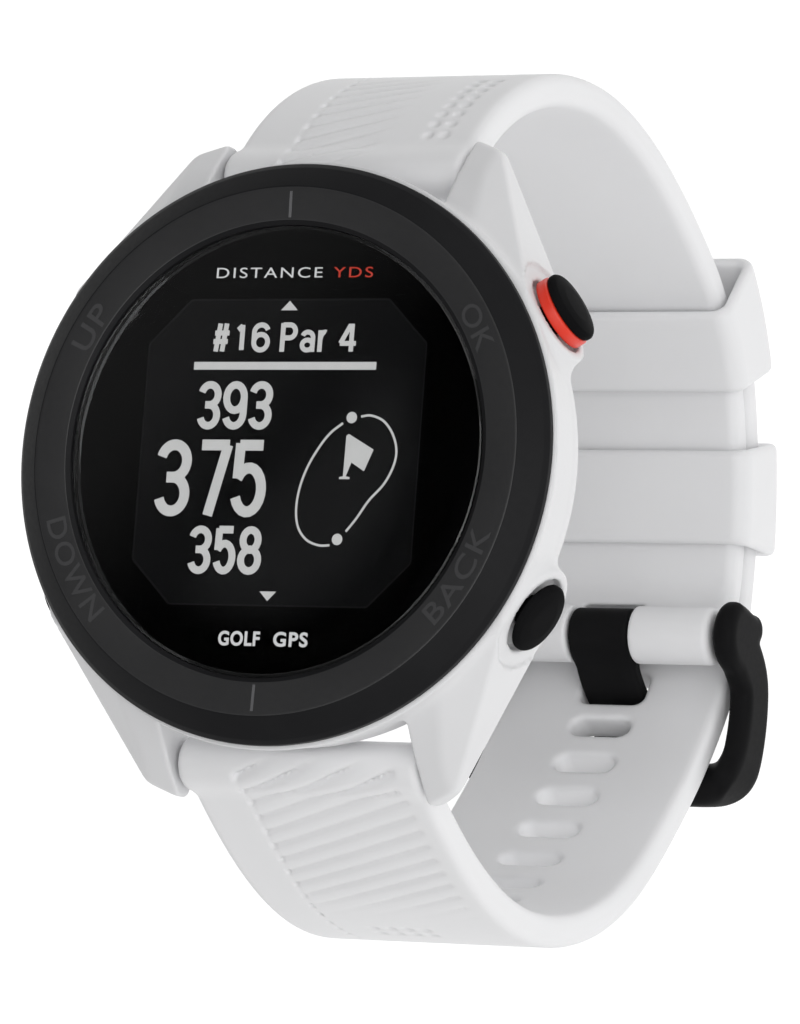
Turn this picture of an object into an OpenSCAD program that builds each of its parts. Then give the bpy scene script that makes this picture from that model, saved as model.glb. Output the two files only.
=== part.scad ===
// Golf GPS watch: a round case on a buckled silicone strap, with its inner pieces.
// Origin at the centre of the case back's outer face.
// +X points to 3 o'clock, +Y to 12 o'clock and +Z out of the dial. Millimetres.

/* [Case] */
// Diameter of the housing, without lugs and buttons
case_d = 43.7; // [43.5:0.1:44.1]
// Height from the case back to the top of the bezel
case_h = 11.5; // [11.5:0.1:12]
// Wall between the inside of the housing and its outer face
case_wall = 2.65; // [2.6:0.05:2.7]
// Radius that rounds the side of the housing into its back
case_round = 4.65; // [4.5:0.05:4.7]
// How much the side leans in between the bezel and that rounding
case_lean = 0.65; // [0.5:0.05:0.7]
// Distance of each strap bar from the centre of the case
bar_y = 22.2; // [22.1:0.05:22.4]
// Height of the strap bars above the case back
bar_z = 1.75; // [1.7:0.05:1.85]
// Furthest reach of a lug from the centre
lug_reach = 24.85; // [24.75:0.05:25]

/* [Dial] */
// Radius of the bezel's outer edge
bezel_r = 21.6; // [21.4:0.1:21.7]
// Radius of the lens
lens_r = 16.75; // [16.5:0.05:16.9]
// Radius where the bezel's flat inner ring meets its sloping outer ring
bezel_ridge_r = 19.6; // [19.2:0.1:20]
// Half the width of the display panel
display_half = 12.4; // [12.2:0.05:12.5]
// Size of the panel's cut corners
display_corner = 4; // [3.5:0.1:4.5]

/* [Buttons] */
// Diameter of a button's cap
cap_d = 5.4; // [5.2:0.1:5.6]
// Thickness of a button's cap
cap_t = 0.85; // [0.8:0.05:1]
// How far a button travels when it is pressed
press = 0.6; // [0.4:0.05:0.6]
// Height of the buttons' axes above the case back
button_z = 5; // [4.95:0.05:5.1]

/* [Strap] */
// Width of the strap, for 20 mm lugs
strap_w = 19.8; // [19.6:0.1:19.9]
// Thickness of the strap
strap_t = 2.6; // [2.4:0.05:2.6]
// Gap between the two straps where one lies on the other
strap_gap = 0.25; // [0.2:0.05:0.3]
// Distance from one adjusting slot to the next
slot_pitch = 4.4; // [4.3:0.1:4.6]
// Length of an adjusting slot across the strap
slot_l = 5.2; // [5:0.1:5.4]
// Width of an adjusting slot along the strap
slot_w = 2; // [1.8:0.1:2.2]
// Length of each keeper along the strap
keeper_l = 8.3; // [7:0.1:8.4]

/* [Buckle] */
// Radius of the buckle's pin
pin_r = 0.9; // [0.8:0.05:0.95]
// Thickness of each side arm of the buckle
arm_t = 2.15; // [2:0.05:2.3]
// Half the height of a side arm
arm_half = 2.4; // [2.3:0.1:2.5]
// Width of the tongue
tongue_w = 5.3; // [4.8:0.1:5.4]

/* [Hidden] */
$fn = 64;
eps = 0.02;        // clearance of pieces that are pressed or glued together
far = 60;          // longer than any piece, for cutting tools

// Case levels, measured up from the case back
case_r = case_d / 2;
cavity_r = case_r - case_wall;
case_low = 0.35;               // lowest face of the housing
case_top = case_h - 2.1;       // seat of the bezel
cover_t = 1.3;                 // thickness of the back cover
cover_r = 17.7;
cover_flat_r = 15.9;           // edge of the cover's flat outer face
cover_gap = 0.1;               // running gap round the cover
ledge_r = 14.55;               // opening inside the ledge that the cover bears on
ledge_top = 2.2;
back_seal_at = 15.1;           // middle of the cover's O-ring
back_seal_r = 0.25;
bezel_seal_at = 20.2;
bezel_seal_r = 0.4;
side_z = case_low + case_round;

// Screws of the back cover
screw_ring_r = 16.4;
screw_angles = [45, 135, 225, 315];
screw_r = 0.5;
screw_head_r = 0.9;
screw_head_low = 0.3;
screw_head_top = 0.8;
insert_r = 0.85;
insert_top = 3.7;
pillar_r = 1.5;                // post of the housing round each insert

// Lens, display and board levels
lens_top = case_h - 0.45;
lens_low = lens_top - 1.1;
seat_r = 15.4;                 // opening of the bezel under the lens
gasket_t = 0.2;
panel_top = lens_low - 0.05;
panel_low = panel_top - 0.95;
guide_low = panel_low - 0.4;
frame_low = guide_low - 0.8;
board_low = 4.3;
board_top = 4.9;
board_r = 16.4;
battery_top = 3.9;
battery_low = cover_t + 0.2;
battery_w = 22;
battery_l = 17;
battery_y = 2;
port_y = -12.6;                // row of charging contacts
contact_pitch = 2;
contact_r = 0.45;

// Buttons, along their own axis from the centre of the case
boss_face = case_r + 0.25;     // flat face round each button
pocket_floor = boss_face - press - 0.25;
boss_root = 17;
boss_root_r = 4.5;
boss_face_r = 3.7;
boss_flat_r = 4.3;             // how far that face runs into the side of a lug
button_angles = [30, 330, 150, 210];
cap_clear = 0.3;
stem_r = 1.15;
stem_end = 17.75;
bore_r = 1.23;
seal_at = 20.3;                // place of the O-ring
seal_r = 0.25;
seal_mid = 0.95;
clip_at = 18.6;
clip_t = 0.35;
clip_r = 1.7;
clip_groove = 0.75;
ring_t = 0.95;                 // accent ring under the OK button's cap
switch_front = 17.1;
ok_angle = button_angles[0];
back_angle = button_angles[1];
up_angle = button_angles[2];
down_angle = button_angles[3];

// Lugs and quick-release bars
lug_gap = 10.2;                // half the distance between a pair of lugs
lug_hole_r = 0.5;
lug_hole_end = 11.8;
bar_end = 9.55;
tube_r = 0.8;
tube_in = 0.55;
tip_r = 0.42;
end_r = 2;                     // strap's eye round its bar
eye_gap = 0.35;                // room round the eye in the housing
lever_x = 6.2;
lever_w = 1.2;
release = 1.3;                 // travel of a release lever
tip_reach = 11.3;
tip_short = 10.05;             // lower bar, its tips just clear of the lugs

// Routes of the two straps in the plane X = 0. A station is [y, z, heading in degrees],
// and both straps share two arcs at the bottom of the loop, below the wrist.
half_t = strap_t / 2;
flat_c = [2.5, -21.95];
flat_r = 34;
bend_turn = 20;                // where the flat arc meets the tighter one
bend_r = 20;
bend_end = 58;
layer = strap_t + strap_gap;   // from one strap's middle to the other's
function arc_point(c, r, a) = [c[0] + r * sin(a), c[1] - r * cos(a)];
function back_on_arc(c, r, a) = concat(arc_point(c, r, a), [a - 180]);
bend_c = arc_point(flat_c, flat_r - bend_r, bend_turn);
pin_c = [-5.2, -52.1];
upper_stations = [
    [bar_y, bar_z, -35],
    [32.85, -21.2, -90],
    back_on_arc(bend_c, bend_r, bend_end),
    back_on_arc(flat_c, flat_r, bend_turn),
    back_on_arc(flat_c, flat_r, -5),
    [pin_c[0], pin_c[1], -240]
];
tail_end = 43;
lower_stations = [
    [-bar_y, bar_z, 233],
    [-31.9, -21.6, 270],
    [-27.3, -38.6, 302],
    [-19.1, -48.3, 314],
    [-14, -52.8, 322],
    concat(arc_point(flat_c, flat_r + layer, -9), [351]),
    concat(arc_point(flat_c, flat_r + layer, bend_turn), [360 + bend_turn]),
    concat(arc_point(bend_c, bend_r + layer, tail_end), [360 + tail_end])
];

// Buckle and tongue routes, in the same plane
crossbar_c = [-17.2, -54.7];
crossbar_r = 1.8;
arm_stations = [[pin_c[0], pin_c[1], 222], [-9.5, -56.1, 188], [-16.6, -54.6, 150]];
arm_end_r = 2.9;               // round end of each arm at the pin
arm_heel = [-4.3, -55];        // its corner away from the wrist
arm_heel_r = 1.3;
bow_end = -19.35;              // Y of the bow's far edge
bow_corner = 4.5;              // radius of its corners, seen from the wrist
tongue_t = 1.4;
hub_r = 2.15;
tongue_stations = [[-5.2, -51.6, 190], [-10.15, -55.6, 238], [-13.4, -57.5, 178], [-18.9, -56.8, 170]];
arm_in = 10.35;
roll_r = 2.4;
tongue_notch = tongue_w / 2 + 0.35;
tongue_slot_at = 68;           // along the lower strap, from its bar
tongue_slot_w = 3.9;
slots_before = 8;              // adjusting slots between the tongue and the lug
slots_after = 5;               // and between the tongue and the strap's tail

// Keepers: [centre of the arc, its radius, place along it in degrees]
keeper_wall = 0.95;
keeper_gap = 0.3;
inner_keeper_a = 7.2;
outer_keeper_a = 36.9;

// ---- Route helpers -------------------------------------------------------

function spot(s) = [s[0], s[1]];
function heading(a) = [cos(a), sin(a)];
function left_of(d) = [-d[1], d[0]];
function unit(d) = d / norm(d);
// Handle length that makes a cubic curve follow a circle through the same turn
function handle(chord, turn) =
    turn < 1 ? chord / 3 : chord / (2 * sin(turn / 2)) * 4 / 3 * tan(turn / 4);
function cubic(a, b, c, d, t) =
    a * pow(1 - t, 3) + b * 3 * t * pow(1 - t, 2) + c * 3 * t * t * (1 - t) + d * pow(t, 3);
function cubic_slope(a, b, c, d, t) =
    (b - a) * pow(1 - t, 2) + (c - b) * 2 * t * (1 - t) + (d - c) * t * t;
// Points along a route, moved sideways by off
function leg(s, e, off, n) =
    let (turn = abs(e[2] - s[2]), h = handle(norm(spot(e) - spot(s)), turn),
         a = spot(s), d = spot(e), b = a + heading(s[2]) * h, c = d - heading(e[2]) * h)
    [for (i = [0:n]) cubic(a, b, c, d, i / n) + left_of(unit(cubic_slope(a, b, c, d, i / n))) * off];
function route(stations, off, n) = [
    for (k = [0:len(stations) - 2]) let (pts = leg(stations[k], stations[k + 1], off, n))
        for (i = [(k == 0 ? 0 : 1):n]) pts[i]
];
function reversed(pts) = [for (i = [len(pts) - 1:-1:0]) pts[i]];
function run_lengths(pts) = [
    for (i = 0, s = 0; i < len(pts); s = s + (i + 1 < len(pts) ? norm(pts[i + 1] - pts[i]) : 0), i = i + 1) s
];
// [y, z, heading] at a distance along a list of points
function along(pts, s) =
    let (runs = run_lengths(pts), k = max([for (i = [0:len(pts) - 2]) if (runs[i] <= s) i]),
         d = pts[k + 1] - pts[k], t = (s - runs[k]) / norm(d))
    concat(pts[k] + d * t, [atan2(d[1], d[0])]);

// A band of constant thickness along a route, as wide as w across X
module band(stations, thick, w, n = 10) {
    outline = concat(route(stations, thick / 2, n), reversed(route(stations, -thick / 2, n)));
    across_x(w) polygon(outline);
}
// Extrudes a drawing of the Y-Z plane along X, centred on the middle
module across_x(w) {
    rotate([90, 0, 90]) linear_extrude(w, center = true) children();
}
module rod_x(r, x0, x1, y, z) {
    translate([x0, y, z]) rotate([0, 90, 0]) cylinder(r = r, h = x1 - x0);
}
module disc(r, z0, z1) {
    translate([0, 0, z0]) cylinder(r = r, h = z1 - z0);
}
module ring(r_out, r_in, z0, z1) {
    difference() {
        disc(r_out, z0, z1);
        disc(r_in, z0 - 1, z1 + 1);
    }
}
module o_ring(middle, r, z) {
    translate([0, 0, z]) rotate_extrude() translate([middle, 0]) circle(r = r, $fn = 24);
}
module block(w, l, z0, z1) {
    translate([-w / 2, -l / 2, z0]) cube([w, l, z1 - z0]);
}

// ---- Case ----------------------------------------------------------------

// Puts a piece drawn along +Z from the case centre onto the axis of a button
module on_button(angle) {
    rotate([0, 0, angle]) translate([0, 0, button_z]) rotate([0, 90, 0]) children();
}
// Repeats a piece at each screw of the back cover
module at_screws() {
    for (a = screw_angles) rotate([0, 0, a]) translate([screw_ring_r, 0, 0]) children();
}
// Everything beyond a slanted plane: its outward side leans by tilt from +Z, towards azimuth
module beyond(point, tilt, azimuth) {
    translate(point) rotate([0, tilt, azimuth]) translate([-far, -far, 0]) cube(2 * far);
}
// One lug: a wedge whose outer side runs on into the face round a button
module lug() {
    side_a = 26.5;                     // direction that its outer side faces
    side_at = 22.1;                    // distance of that side from the centre
    tip = [12.85, 23.7];
    root = [18.6, 12.2];
    foot_z = 1.8;                      // lower edge of the outer side
    difference() {
        intersection() {
            translate([0, 0, -2]) linear_extrude(14) polygon([
                [lug_gap, 11], [16, 9], root, tip, tip + [-0.3, 0.25],
                [lug_gap + 0.2, lug_reach], [lug_gap, lug_reach - 0.2]
            ]);
            translate([13, 0, 0]) across_x(14) polygon([
                [8, case_top - 0.25], [16.1, case_top - 0.25], [19.7, case_top - 2.95],
                [21.8, case_top - 4.5], [23.8, case_top - 6.3], [lug_reach, case_top - 7.3],
                [lug_reach, 0.9], [lug_reach - 0.7, 0.25], [8, case_low]
            ]);
        }
        // long upper facet, and the one under the outer side
        beyond([13.1, 17.7, case_top - 1.45], 47.3, 53.5);
        rotate([0, 0, side_a]) beyond([side_at, 0, foot_z], 135, 0);
    }
}
module housing_outside() {
    foot_r = case_r - case_lean;
    rotate_extrude() {
        translate([foot_r - case_round, side_z]) circle(r = case_round);
        translate([0, case_low]) square([foot_r - case_round, case_round]);
        polygon([
            [0, side_z - 1], [foot_r - case_round, side_z - 1], [foot_r, side_z],
            [case_r, case_top - 0.35], [case_r - 0.35, case_top], [0, case_top]
        ]);
    }
    for (sx = [0, 1], sy = [0, 1]) mirror([sx, 0, 0]) mirror([0, sy, 0]) lug();
    for (a = button_angles) on_button(a) translate([0, 0, boss_root])
        cylinder(r1 = boss_root_r, r2 = boss_face_r, h = boss_face - boss_root);
}
module case_housing() {
    color("whitesmoke") difference() {
        housing_outside();
        // the button bosses end level with the bezel's seat
        disc(far, case_top, case_h + 1);
        difference() {
            disc(cavity_r, ledge_top, case_h + 1);
            at_screws() cylinder(r = pillar_r, h = insert_top + 0.3);
        }
        disc(ledge_r, -1, ledge_top + 1);
        disc(cover_r + cover_gap, -1, cover_t + 0.05);
        at_screws() cylinder(r = insert_r + eps, h = insert_top + 0.05);
        // grooves of the two seals
        ring(back_seal_at + back_seal_r + 0.05, back_seal_at - back_seal_r - 0.05,
            cover_t, cover_t + 2 * back_seal_r + 0.1);
        ring(bezel_seal_at + bezel_seal_r + 0.05, bezel_seal_at - bezel_seal_r - 0.05,
            case_top - 2 * bezel_seal_r + 0.05, case_top + 1);
        for (a = button_angles) on_button(a) {
            translate([0, 0, cavity_r - 2]) cylinder(r = bore_r, h = 8);
            translate([0, 0, pocket_floor]) cylinder(r = cap_d / 2 + cap_clear, h = 5);
            translate([0, 0, boss_face]) cylinder(r = boss_flat_r, h = 5);
        }
        for (s = [-1, 1]) {
            rod_x(end_r + eye_gap, -lug_gap, lug_gap, s * bar_y, bar_z);
            rod_x(lug_hole_r, -lug_hole_end, lug_hole_end, s * bar_y, bar_z);
        }
    }
}
module bezel() {
    color("#2b2c2f") rotate_extrude() polygon([
        [lens_r + 0.12, lens_low - gasket_t - 0.02], [lens_r + 0.12, case_h - 0.35],
        [lens_r + 0.4, case_h - 0.12], [bezel_ridge_r, case_h], [bezel_r - 0.35, case_h - 1.15],
        [bezel_r, case_h - 1.5], [bezel_r, case_top + 0.05], [seat_r, case_top + 0.05],
        [seat_r, lens_low - gasket_t - 0.02]
    ]);
}
module bezel_seal() {
    color("#202020") o_ring(bezel_seal_at, bezel_seal_r, case_top + 0.05 - bezel_seal_r);
}
module lens() {
    color("#101318", 0.5) rotate_extrude() polygon([
        [0, lens_low], [lens_r, lens_low], [lens_r, lens_top - 0.2],
        [lens_r - 0.25, lens_top], [0, lens_top]
    ]);
}
module lens_gasket() {
    color("#202020") ring(lens_r - 0.1, seat_r + 0.1, lens_low - gasket_t, lens_low - eps);
}

// ---- Display and board ---------------------------------------------------

module cut_square(half, corner) {
    c = half - corner;
    polygon([[-c, -half], [c, -half], [half, -c], [half, c], [c, half], [-c, half], [-half, c], [-half, -c]]);
}
module display_panel() {
    color("#1b1e22") translate([0, 0, panel_low])
        linear_extrude(panel_top - panel_low) cut_square(display_half, display_corner);
}
module light_guide() {
    color("#dfe6ea") translate([0, 0, guide_low + eps])
        linear_extrude(panel_low - guide_low - 2 * eps) cut_square(display_half - 0.4, display_corner);
}
module display_frame() {
    rim_h = 0.8;
    color("#3a3d42") difference() {
        union() {
            disc(cavity_r - 0.25, frame_low, guide_low);
            // rim that centres the panel
            translate([0, 0, guide_low]) linear_extrude(rim_h) cut_square(display_half + 0.9, display_corner);
        }
        translate([0, 0, guide_low]) linear_extrude(3) cut_square(display_half + 0.1, display_corner);
        translate([0, 0, frame_low - 1]) linear_extrude(3) cut_square(8, 2);
        // passage of the flex
        translate([-5.2, -15, frame_low - 1]) cube([10.4, 2.55, 5]);
    }
}
module gps_antenna() {
    inner = 16.9;
    outer = cavity_r - 0.35;
    height = 0.7;
    color("#c8b48a") translate([0, 0, guide_low + 0.05]) rotate([0, 0, 25])
        rotate_extrude(angle = 130) translate([inner, 0]) square([outer - inner, height]);
}
module display_flex() {
    film = 0.2;
    start_y = -display_half - eps;     // edge of the panel
    fold_y = -14.4;
    end_y = -9.95;                     // edge of the board's connector
    top = panel_low + 0.5;
    low = board_top + eps;
    color("#b9792b") across_x(9) polygon([
        [start_y, top - film], [fold_y + film, top - film], [fold_y + film, low + film],
        [end_y, low + film], [end_y, low], [fold_y, low], [fold_y, top], [start_y, top]
    ]);
}
module main_board() {
    color("#1d5b39") difference() {
        disc(board_r, board_low, board_top);
        // notches over the screw posts
        at_screws() cylinder(r = pillar_r + 0.4, h = far, center = true);
    }
}
module board_shield() {
    color("silver") translate([-4.5, 4.5, board_top + eps]) block(11, 9, 0, 1.3);
}
module processor() {
    color("#18191b") translate([7.5, 3.5, board_top + eps]) block(7, 7, 0, 0.9);
}
module board_connector() {
    color("#e4dccb") translate([0, -8.6, board_top + eps]) block(9, 2.6, 0, 1);
}
module button_switch(angle) {
    color("silver") rotate([0, 0, angle]) difference() {
        translate([switch_front - 3.2, -2.2, board_top + eps]) cube([3.2, 4.4, 1.4]);
        // step that leaves a narrower plunger at the front
        for (s = [-1, 1]) translate([switch_front - 0.5, s * 1.8 - 0.9, board_top]) cube([1, 1.8, 2]);
    }
}
module ok_switch() { button_switch(ok_angle); }
module back_switch() { button_switch(back_angle); }
module up_switch() { button_switch(up_angle); }
module down_switch() { button_switch(down_angle); }

module battery() {
    corner = 1.5;
    color("#9fa6ad") translate([0, battery_y, battery_low]) difference() {
        linear_extrude(battery_top - battery_low) square([battery_w, battery_l], center = true);
        for (sx = [-1, 1], sy = [-1, 1])
            translate([sx * battery_w / 2, sy * battery_l / 2, 0]) rotate([0, 0, 45])
                cube([corner, corner, far], center = true);
    }
}
module battery_pad() {
    color("#3c3c3c") translate([0, battery_y, 0])
        block(battery_w - 3, battery_l - 3, battery_top + eps, board_low - eps);
}
module battery_lead() {
    // flat lead from the end of the cell up to the underside of the board
    end_y = battery_y - battery_l / 2;
    color("#a33b2e") translate([6, 0, 0]) across_x(2.4) polygon([
        [end_y - eps, 2.6], [end_y - eps, 2.3], [end_y - 1.6, 2.3],
        [end_y - 1.6, board_low - eps], [end_y - 1.3, board_low - eps], [end_y - 1.3, 2.6]
    ]);
}
module contact_row() {
    for (i = [-1.5:1:1.5]) translate([i * contact_pitch, port_y, 0]) children();
}
module charge_contacts() {
    color("gold") contact_row() {
        translate([0, 0, 0.3]) cylinder(r = contact_r, h = board_low - 0.3 - eps);
        translate([0, 0, cover_t + 0.1]) cylinder(r = 0.8, h = 0.4);
    }
}
module back_cover() {
    chamfer = 0.3;
    color("#e9e9ea") difference() {
        rotate_extrude() polygon([
            [0, 0], [cover_flat_r, 0], [cover_r - chamfer, case_low], [cover_r, case_low + chamfer],
            [cover_r, cover_t], [0, cover_t]
        ]);
        // recess and holes of the charging contacts
        hull() for (s = [-1, 1]) translate([s * 3.7, port_y, -1]) cylinder(r = 1.5, h = 1.55, $fn = 32);
        contact_row() cylinder(r = contact_r + eps, h = far, center = true);
        at_screws() cylinder(r = screw_r + 0.1, h = far, center = true);
        at_screws() translate([0, 0, -1]) cylinder(r = screw_head_r + 0.1, h = 1 + screw_head_top);
    }
}
module back_seal() {
    color("#202020") o_ring(back_seal_at, back_seal_r, cover_t + back_seal_r + eps);
}
module case_screws() {
    socket_r = 0.45;
    color("silver") at_screws() difference() {
        union() {
            disc(screw_head_r, screw_head_low, screw_head_top - eps);
            disc(screw_r, screw_head_low, insert_top - 0.3);
        }
        cylinder(r = socket_r, h = screw_head_low + 0.3, $fn = 6);
    }
}
module screw_inserts() {
    color("#b58b3a") at_screws() ring(insert_r, screw_r + 0.03, cover_t + 0.1, insert_top);
}

// ---- Buttons -------------------------------------------------------------

// One button turned about its own axis; lift is the thickness of a ring under the cap
module button(angle, lift) {
    base = boss_face + lift;
    r = cap_d / 2;
    nose_r = stem_r - 0.2;
    groove = seal_r + 0.05;            // half the width of the O-ring's groove
    color("#17181a") on_button(angle) rotate_extrude() polygon([
        [0, stem_end], [nose_r, stem_end], [nose_r, clip_at - eps],
        [clip_groove, clip_at - eps], [clip_groove, clip_at + clip_t + eps],
        [stem_r, clip_at + clip_t + eps], [stem_r, seal_at - groove],
        [seal_mid - seal_r - eps, seal_at - groove], [seal_mid - seal_r - eps, seal_at + groove],
        [stem_r, seal_at + groove], [stem_r, base], [r - 0.15, base], [r, base + 0.2],
        [r, base + cap_t - 0.45], [r - 0.3, base + cap_t - 0.12], [r - 0.9, base + cap_t],
        [0, base + cap_t]
    ]);
}
module button_seal(angle) {
    color("#303030") on_button(angle) o_ring(seal_mid, seal_r, seal_at);
}
module button_clip(angle) {
    color("silver") on_button(angle) difference() {
        ring(clip_r, clip_groove + eps, clip_at, clip_at + clip_t);
        translate([-0.6, 0, clip_at - 1]) cube([1.2, 3, 3]);
    }
}
module ok_button() { button(ok_angle, ring_t); }
module ok_button_ring() {
    color("#e02a1e") on_button(ok_angle)
        ring(cap_d / 2 + 0.08, stem_r + eps, boss_face + eps, boss_face + ring_t - eps);
}
module ok_button_seal() { button_seal(ok_angle); }
module ok_button_clip() { button_clip(ok_angle); }
module back_button() { button(back_angle, 0); }
module back_button_seal() { button_seal(back_angle); }
module back_button_clip() { button_clip(back_angle); }
module up_button() { button(up_angle, 0); }
module up_button_seal() { button_seal(up_angle); }
module up_button_clip() { button_clip(up_angle); }
module down_button() { button(down_angle, 0); }
module down_button_seal() { button_seal(down_angle); }
module down_button_clip() { button_clip(down_angle); }

// ---- Strap ---------------------------------------------------------------

// Bore and lever window that a strap end needs for its quick-release bar
module bar_cut(y) {
    rod_x(tube_r + 0.05, -far, far, y, bar_z);
    translate([lever_x - release - lever_w / 2 - 0.4, y - 0.8, bar_z - 5])
        cube([lever_w + release + 0.8, 1.6, 5]);
}
module strap_upper() {
    color("white") difference() {
        union() {
            band(upper_stations, strap_t, strap_w);
            rod_x(end_r, -strap_w / 2, strap_w / 2, bar_y, bar_z);
            rod_x(roll_r, -strap_w / 2, strap_w / 2, pin_c[0], pin_c[1]);
        }
        bar_cut(bar_y);
        rod_x(pin_r + 0.06, -far, far, pin_c[0], pin_c[1]);
        // notch in the rolled end that lets the tongue turn
        translate([-tongue_notch, pin_c[0] - 5, pin_c[1] - 4]) cube([2 * tongue_notch, 8.1, 8]);
    }
}
// A slot with round ends through the strap, at a distance from the bar
module strap_slot(s, len_x, wide) {
    at = along(route(lower_stations, 0, 10), s);
    translate([0, at[0], at[1]]) rotate([at[2], 0, 0]) {
        for (x = [-1, 1]) translate([x * (len_x - wide) / 2, 0, -3]) cylinder(r = wide / 2, h = 6);
        translate([-(len_x - wide) / 2, -wide / 2, -3]) cube([len_x - wide, wide, 6]);
    }
}
module strap_lower() {
    color("white") difference() {
        union() {
            band(lower_stations, strap_t, strap_w);
            rod_x(end_r, -strap_w / 2, strap_w / 2, -bar_y, bar_z);
        }
        bar_cut(-bar_y);
        for (i = [1:slots_before]) strap_slot(tongue_slot_at - i * slot_pitch, slot_l, slot_w);
        for (i = [1:slots_after]) strap_slot(tongue_slot_at + i * slot_pitch, slot_l, slot_w);
        strap_slot(tongue_slot_at, tongue_w + 1.1, tongue_slot_w);
    }
}
// Hollow quick-release bar: a fixed tip at -X, and a slot for the lever
module spring_bar(y, reach) {
    color("silver") difference() {
        union() {
            rod_x(tube_r, -bar_end, bar_end, y, bar_z);
            rod_x(tip_r, -reach, -bar_end + 0.5, y, bar_z);
        }
        rod_x(tube_in, -bar_end + 1, bar_end + 1, y, bar_z);
        translate([lever_x - release - lever_w / 2 - 0.2, y - 0.6, bar_z - 2])
            cube([lever_w + release + 0.4, 1.2, 2]);
    }
}
// Sliding tip with its lever, pulled towards -X to release the strap
module release_pin(y, reach) {
    color("silver") {
        rod_x(tip_r, lever_x - 1.2, reach, y, bar_z);
        translate([lever_x, y, bar_z - end_r - 0.7]) cylinder(r = 0.4, h = end_r + 0.7);
        translate([lever_x, y, bar_z - end_r - 0.8]) cylinder(r = lever_w / 2, h = 0.7);
    }
}
module upper_spring_bar() { spring_bar(bar_y, tip_reach); }
module upper_release_pin() { release_pin(bar_y, tip_reach); }
module lower_spring_bar() { spring_bar(-bar_y, tip_short); }
module lower_release_pin() { release_pin(-bar_y, tip_short); }

// ---- Buckle and keepers --------------------------------------------------

// Outline of the bow as seen from the wrist, with round corners at its far edge
module bow_plan() {
    half = arm_in + arm_t;
    low = bow_end + bow_corner;
    translate([0, 0, pin_c[1] - 10]) linear_extrude(15) {
        translate([-half, low]) square([2 * half, 20]);
        translate([bow_corner - half, bow_end]) square([2 * (half - bow_corner), 20]);
        for (s = [-1, 1]) translate([s * (half - bow_corner), low]) circle(r = bow_corner);
    }
}
module buckle_frame() {
    color("#141516") intersection() {
        bow_plan();
        union() {
            for (s = [-1, 1]) difference() {
                translate([s * (arm_in + arm_t / 2), 0, 0]) union() {
                    band(arm_stations, 2 * arm_half, arm_t);
                    hull() {
                        rod_x(arm_end_r, -arm_t / 2, arm_t / 2, pin_c[0], pin_c[1]);
                        rod_x(arm_heel_r, -arm_t / 2, arm_t / 2, arm_heel[0], arm_heel[1]);
                    }
                    rod_x(arm_half, -arm_t / 2, arm_t / 2, arm_stations[2][0], arm_stations[2][1]);
                }
                rod_x(pin_r + eps, -arm_in - 1.2, arm_in + 1.2, pin_c[0], pin_c[1]);
            }
            difference() {
                rod_x(crossbar_r, -arm_in - 0.5, arm_in + 0.5, crossbar_c[0], crossbar_c[1]);
                // shallow seat for the tongue's tip
                translate([-tongue_w / 2 - 0.3, crossbar_c[0] - 3, crossbar_c[1] - 3])
                    cube([tongue_w + 0.6, 6, 1.7]);
            }
        }
    }
}
module buckle_pin() {
    color("silver") rod_x(pin_r, -arm_in - 1.15, arm_in + 1.15, pin_c[0], pin_c[1]);
}
module buckle_tongue() {
    color("#141516") difference() {
        union() {
            band(tongue_stations, tongue_t, tongue_w, 8);
            rod_x(hub_r, -tongue_w / 2, tongue_w / 2, pin_c[0], pin_c[1]);
        }
        rod_x(pin_r + 0.08, -far, far, pin_c[0], pin_c[1]);
    }
}
// A closed loop round both straps, swept along the arc that they share
module keeper(c, r, a) {
    turn = keeper_l / r * 180 / PI;
    low = r - half_t - keeper_gap;
    high = r + half_t + layer + keeper_gap;
    side = strap_w / 2 + keeper_gap;
    color("white") translate([0, c[0], c[1]]) rotate([0, 90, 0]) rotate([0, 0, a - turn / 2])
        rotate_extrude(angle = turn) difference() {
            translate([low - keeper_wall, -side - keeper_wall])
                square([high - low + 2 * keeper_wall, 2 * side + 2 * keeper_wall]);
            translate([low, -side]) square([high - low, 2 * side]);
        }
}
module keeper_inner() { keeper(flat_c, flat_r, inner_keeper_a); }
module keeper_outer() { keeper(bend_c, bend_r, outer_keeper_a); }

case_housing();
bezel();
bezel_seal();
lens();
lens_gasket();
display_panel();
light_guide();
display_frame();
gps_antenna();
display_flex();
main_board();
board_shield();
processor();
board_connector();
ok_switch();
back_switch();
up_switch();
down_switch();
battery();
battery_pad();
battery_lead();
charge_contacts();
back_cover();
back_seal();
case_screws();
screw_inserts();
ok_button();
ok_button_ring();
ok_button_seal();
ok_button_clip();
back_button();
back_button_seal();
back_button_clip();
up_button();
up_button_seal();
up_button_clip();
down_button();
down_button_seal();
down_button_clip();
strap_upper();
upper_spring_bar();
upper_release_pin();
strap_lower();
lower_spring_bar();
lower_release_pin();
buckle_frame();
buckle_pin();
buckle_tongue();
keeper_inner();
keeper_outer();
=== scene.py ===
import math

import bmesh
import bpy
import numpy as np
from mathutils import Matrix, Vector


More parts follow.
